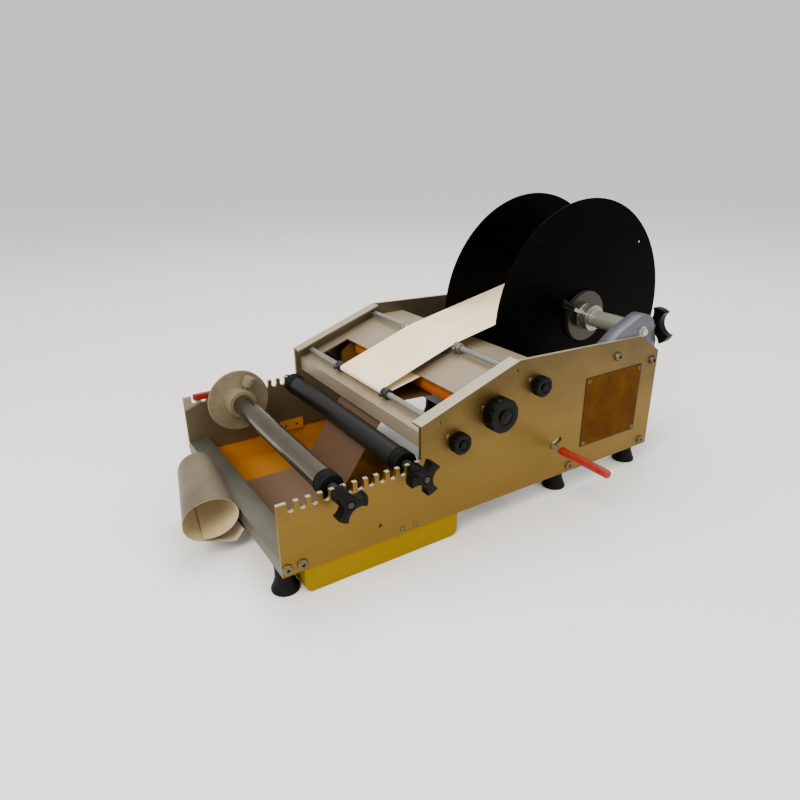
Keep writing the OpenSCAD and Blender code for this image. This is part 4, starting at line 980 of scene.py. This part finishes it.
def ribbon(name, left_route, right_route, width, thick, columns):
    """A strip of sheet spanned between its left and right edges, about the middle."""
    half = width / 2
    strip = join(name, [edge_line(name, left_route, -half), edge_line("edge", right_route, half)])
    bpy.ops.object.mode_set(mode="EDIT")
    bpy.ops.mesh.select_mode(type="EDGE")
    bpy.ops.mesh.select_all(action="SELECT")
    bpy.ops.mesh.bridge_edge_loops(number_cuts=columns - 1, interpolation="LINEAR")
    bpy.ops.mesh.select_all(action="SELECT")
    bpy.ops.mesh.normals_make_consistent(inside=False)
    bpy.ops.object.mode_set(mode="OBJECT")
    apply_modifier(strip, "SOLIDIFY", thickness=thick / 1000, offset=0.0)
    return strip


def inside_curl(place, normal):
    """True on the face of the liner that looks at the middle of its curl."""
    share = place.x * 1000 / WEB_WIDTH + 0.5
    y, z = (left + (right - left) * share for left, right in zip(left_curl, right_curl))
    middle = Vector((place.x, y / 1000, z / 1000))
    return place.y < 0.002 and (middle - place).dot(normal) > 0


web = ribbon("threaded_label_web", web_route, web_route, WEB_WIDTH, 0.3, 6)
dress(web, finishes["web"], "base", "web", "label_web")
liner = ribbon("spent_liner", liner_left, liner_right, WEB_WIDTH, 0.3, 16)
dress(liner, finishes["liner"], "base", "liner", "liner_strip")
# The faces inside the curl take the painted light cream.
second_finish(liner, curl_painted_light, inside_curl)


def along_route(route, first, last):
    """The stretch of a route between two distances from its start."""
    out, gone = [], 0.0
    for a, b in zip(route, route[1:]):
        length = math.dist(a, b)
        if gone + length > first and gone < last:
            t0 = max(0.0, (first - gone) / length)
            t1 = min(1.0, (last - gone) / length)
            if not out:
                out.append((a[0] + (b[0] - a[0]) * t0, a[1] + (b[1] - a[1]) * t0))
            out.append((a[0] + (b[0] - a[0]) * t1, a[1] + (b[1] - a[1]) * t1))
        gone += length
    return out


def lifted(route, by):
    """A route moved sideways, to its left where by is negative."""
    out = []
    for index, point in enumerate(route):
        a, b = route[max(0, index - 1)], route[min(len(route) - 1, index + 1)]
        length = math.dist(a, b)
        out.append((
            point[0] + (b[1] - a[1]) / length * by, point[1] - (b[0] - a[0]) / length * by
        ))
    return out


label_length, label_pitch, label_lift = 88.0, 91.5, 0.24
upper = web_route[: web_route.index(over_rear_rod[-1]) + 1] + [round_front_rod[0]]
total = sum(math.dist(a, b) for a, b in zip(upper, upper[1:]))
labels = []
begin = 6.0
while begin + label_length < total:
    stretch = lifted(along_route(upper, begin, begin + label_length), -label_lift)
    labels.append(ribbon(f"label_{len(labels)}", stretch, stretch, 108.0, 0.12, 2))
    begin += label_pitch
dress(join("blank_labels", labels), finishes["web"], "base", "web")

# Label roll and its core

roll = turn(
    "wound_label_roll",
    [(-57.3, 41.0), (-57.4, 42.2), (-57.2, 43.3), (-57.4, 44.6), (-57.2, 46.0), (57.2, 46.0),
     (57.4, 44.8), (57.2, 43.5), (57.4, 42.1), (57.3, 41.0)],
    96, closed=True,
)
lay(roll, at(0, *SPINDLE_AXIS), "X")
dress(roll, wound_paper, "reel", "web", "label_roll")
core_rings = [(-57.5, 38.3), (-57.5, 40.9), (57.5, 40.9), (57.5, 38.3)]
core = turn("board_core", core_rings, 96, closed=True)
lay(core, at(0, *SPINDLE_AXIS), "X")
dress(core, core_board, "reel", "web")

# Reel discs with polished rims

disc_from, disc_thick = 58.5, 3.2
disc_rings = [(0.0, 20.0), (0.0, 173.9), (0.6, 174.5), (2.6, 174.5), (disc_thick, 173.9),
              (disc_thick, 20.0)]
hole_rings, hole_distance, hole_turn = [(-2, 3.0), (6, 3.0)], 155, 41
for node_name, low_x, body in (
    ("reel_disc_right", disc_from, "outer_disc"),
    ("reel_disc_left", -disc_from - disc_thick, "reel"),
):
    disc = turn(node_name + "_polished", disc_rings, 160, closed=True)
    cut_away(disc, cutters_around(2, hole_distance, hole_rings, 24, 90 + hole_turn))
    lay(disc, at(low_x, *SPINDLE_AXIS), "X")
    dress(disc, finishes["disc"], body, "disc", node_name)

# Outer hub with its locking handle

hub = turn(
    "outer_hub_turned",
    [(-3.2, 13.1), (-3.2, 19.8), (0.0, 19.8), (0.0, 38.2), (0.6, 38.8), (2.6, 38.8), (3.1, 38.2),
     (4.9, 38.2), (5.4, 38.8), (7.4, 38.8), (8.0, 38.2), (8.0, 22.0), (9.0, 20.6), (10.0, 20.0),
     (24.0, 20.0), (25.0, 19.0), (25.0, 13.1)],
    80, closed=True,
)
lay(hub, at(disc_from + disc_thick, *SPINDLE_AXIS), "X")
dress(hub, finishes["hub"], "outer_disc", "hub", "hub_right")
spindle_y, spindle_z = SPINDLE_AXIS[0] / 1000, SPINDLE_AXIS[1] / 1000
# The outer flange takes the painted dark reflection; the boss keeps the bright hub finish.
second_finish(
    hub, hub_flange,
    lambda place, normal: math.hypot(place.y - spindle_y, place.z - spindle_z) > 0.0205,
)
handle_x, handle_lean = 78.2, 154 - 90
handle = turn(
    "lock_handle_grip",
    [(46.0, 5.6), (47.0, 6.6), (52.0, 7.0), (60.0, 6.2), (68.0, 6.8), (72.0, 6.6), (73.6, 5.0),
     (74.0, 3.0)],
    32,
)
neck = turn("lock_handle_stem", [(13.3, 2.6), (13.8, 3.0), (46.4, 3.0)], 24)
for piece, finish in ((handle, finishes["knob"]), (neck, finishes["shaft"])):
    tip(piece, at(handle_x, *SPINDLE_AXIS), handle_lean)
    dress(piece, finish, "outer_disc", "hub")

# Release lever: red dipped grip on a plain rod

sleeve = turn(
    "lever_grip",
    [(0.0, 3.2), (0.0, 5.0), (0.9, 5.6), (30.0, 5.4), (62.0, 5.6), (78.6, 5.6), (80.9, 4.6),
     (82.0, 2.8)],
    28,
)
lay(sleeve, at(HALF_WIDTH + 16.0, 397.0, 50.0), "X")
dress(sleeve, finishes["red"], "nip_arm", "red", "lever_sleeve")

# Torsion spring of the nip arm

coils, steps_per_coil, coil_pitch, coil_radius, coil_from = 8, 20, 2.1, 6.1, 85.6
spring_line = bpy.data.curves.new("arm_spring", "CURVE")
spring_line.dimensions = "3D"
spring_line.bevel_depth = 0.0008
spring_line.bevel_resolution = 3
spring_line.use_fill_caps = True
coil = spring_line.splines.new("POLY")
coil.points.add(coils * steps_per_coil)
for index, point in enumerate(coil.points):
    coils_made = index / steps_per_coil
    turned = 2 * math.pi * coils_made
    point.co = (
        *at(
            coil_from + coil_pitch * coils_made,
            PIVOT_AXIS[0] + coil_radius * math.cos(turned),
            PIVOT_AXIS[1] + coil_radius * math.sin(turned),
        ),
        1,
    )
spring = bpy.data.objects.new("arm_spring", spring_line)
bpy.context.scene.collection.objects.link(spring)
choose(spring)
bpy.ops.object.convert(target="MESH")
dress(bpy.context.object, finishes["steel"], "base", "steel", "nip_spring")

# Red edge guard on the left plate

guard = block("edge_guard", (-181.6, 15, 82.6), (-173.4, 42, 91.6))
cut_away(guard, [block("tool", (-180.1, 10, 80), (-174.9, 47, 90.05))])
soften(guard, 0.7, 3, 40)
dress(guard, finishes["red"], "base", "red", "edge_clip")

# Border of the bare name panel

border = block("panel_border", (180.9, 453.5, 34.5), (181.0, 563.5, 134.5))
cut_away(border, [block("tool", (179, 454.6, 35.6), (183, 562.4, 133.4))])
dress(border, dark_border, "base", "panel")

# Arms, bars and brackets with their edges broken

for node_name, width in (
    ("reel_arms", 0.8), ("front_cross_bar", 0.5), ("middle_cross_bar", 0.5),
    ("rear_foot_brackets", 0.3),
):
    piece = softened_node(node_name, width)
    dress(piece, finishes[slot_of[node_name]], "base", slot_of[node_name], node_name)

# Floor and light

deselect()
bpy.ops.mesh.primitive_plane_add(size=14, location=(0, 0, 0))
floor = bpy.context.object
floor.name = "studio_floor"
floor_paint, tree, shader, place = start_material("matt_white_floor_paint", 0.0, 0.9)
speck = noise(tree, place, per(400.0), 1.0)
floor_white = ramp(tree, speck, (0.0, "F6F6F4"), (1.0, "FCFCFA"))
tree.links.new(floor_white, shader.inputs["Base Color"])
floor.data.materials.append(floor_paint)

world = bpy.data.worlds.new("soft_studio")
world.use_nodes = True
background = world.node_tree.nodes["Background"]
background.inputs["Color"].default_value = colour("F6F4F0")
background.inputs["Strength"].default_value = 1.0
bpy.context.scene.world = world


def softbox(name, place, target, size, power, tint):
    lamp = bpy.data.lights.new(name, "AREA")
    lamp.shape = "SQUARE"
    lamp.size = size
    lamp.energy = power
    lamp.color = colour(tint)[:3]
    holder = bpy.data.objects.new(name, lamp)
    bpy.context.scene.collection.objects.link(holder)
    holder.location = place
    aim = Vector(target) - Vector(place)
    holder.rotation_euler = aim.to_track_quat("-Z", "Y").to_euler()


softbox("key_softbox", (0.9, -1.6, 1.9), (0, 0, 0.15), 1.2, 62, "FFF8EC")
softbox("fill_softbox", (2.2, 0.9, 1.1), (0, 0, 0.15), 1.6, 18, "FFF1DC")
softbox("top_softbox", (-0.6, 0.4, 2.4), (0, 0, 0.1), 1.6, 40, "FFFFFF")
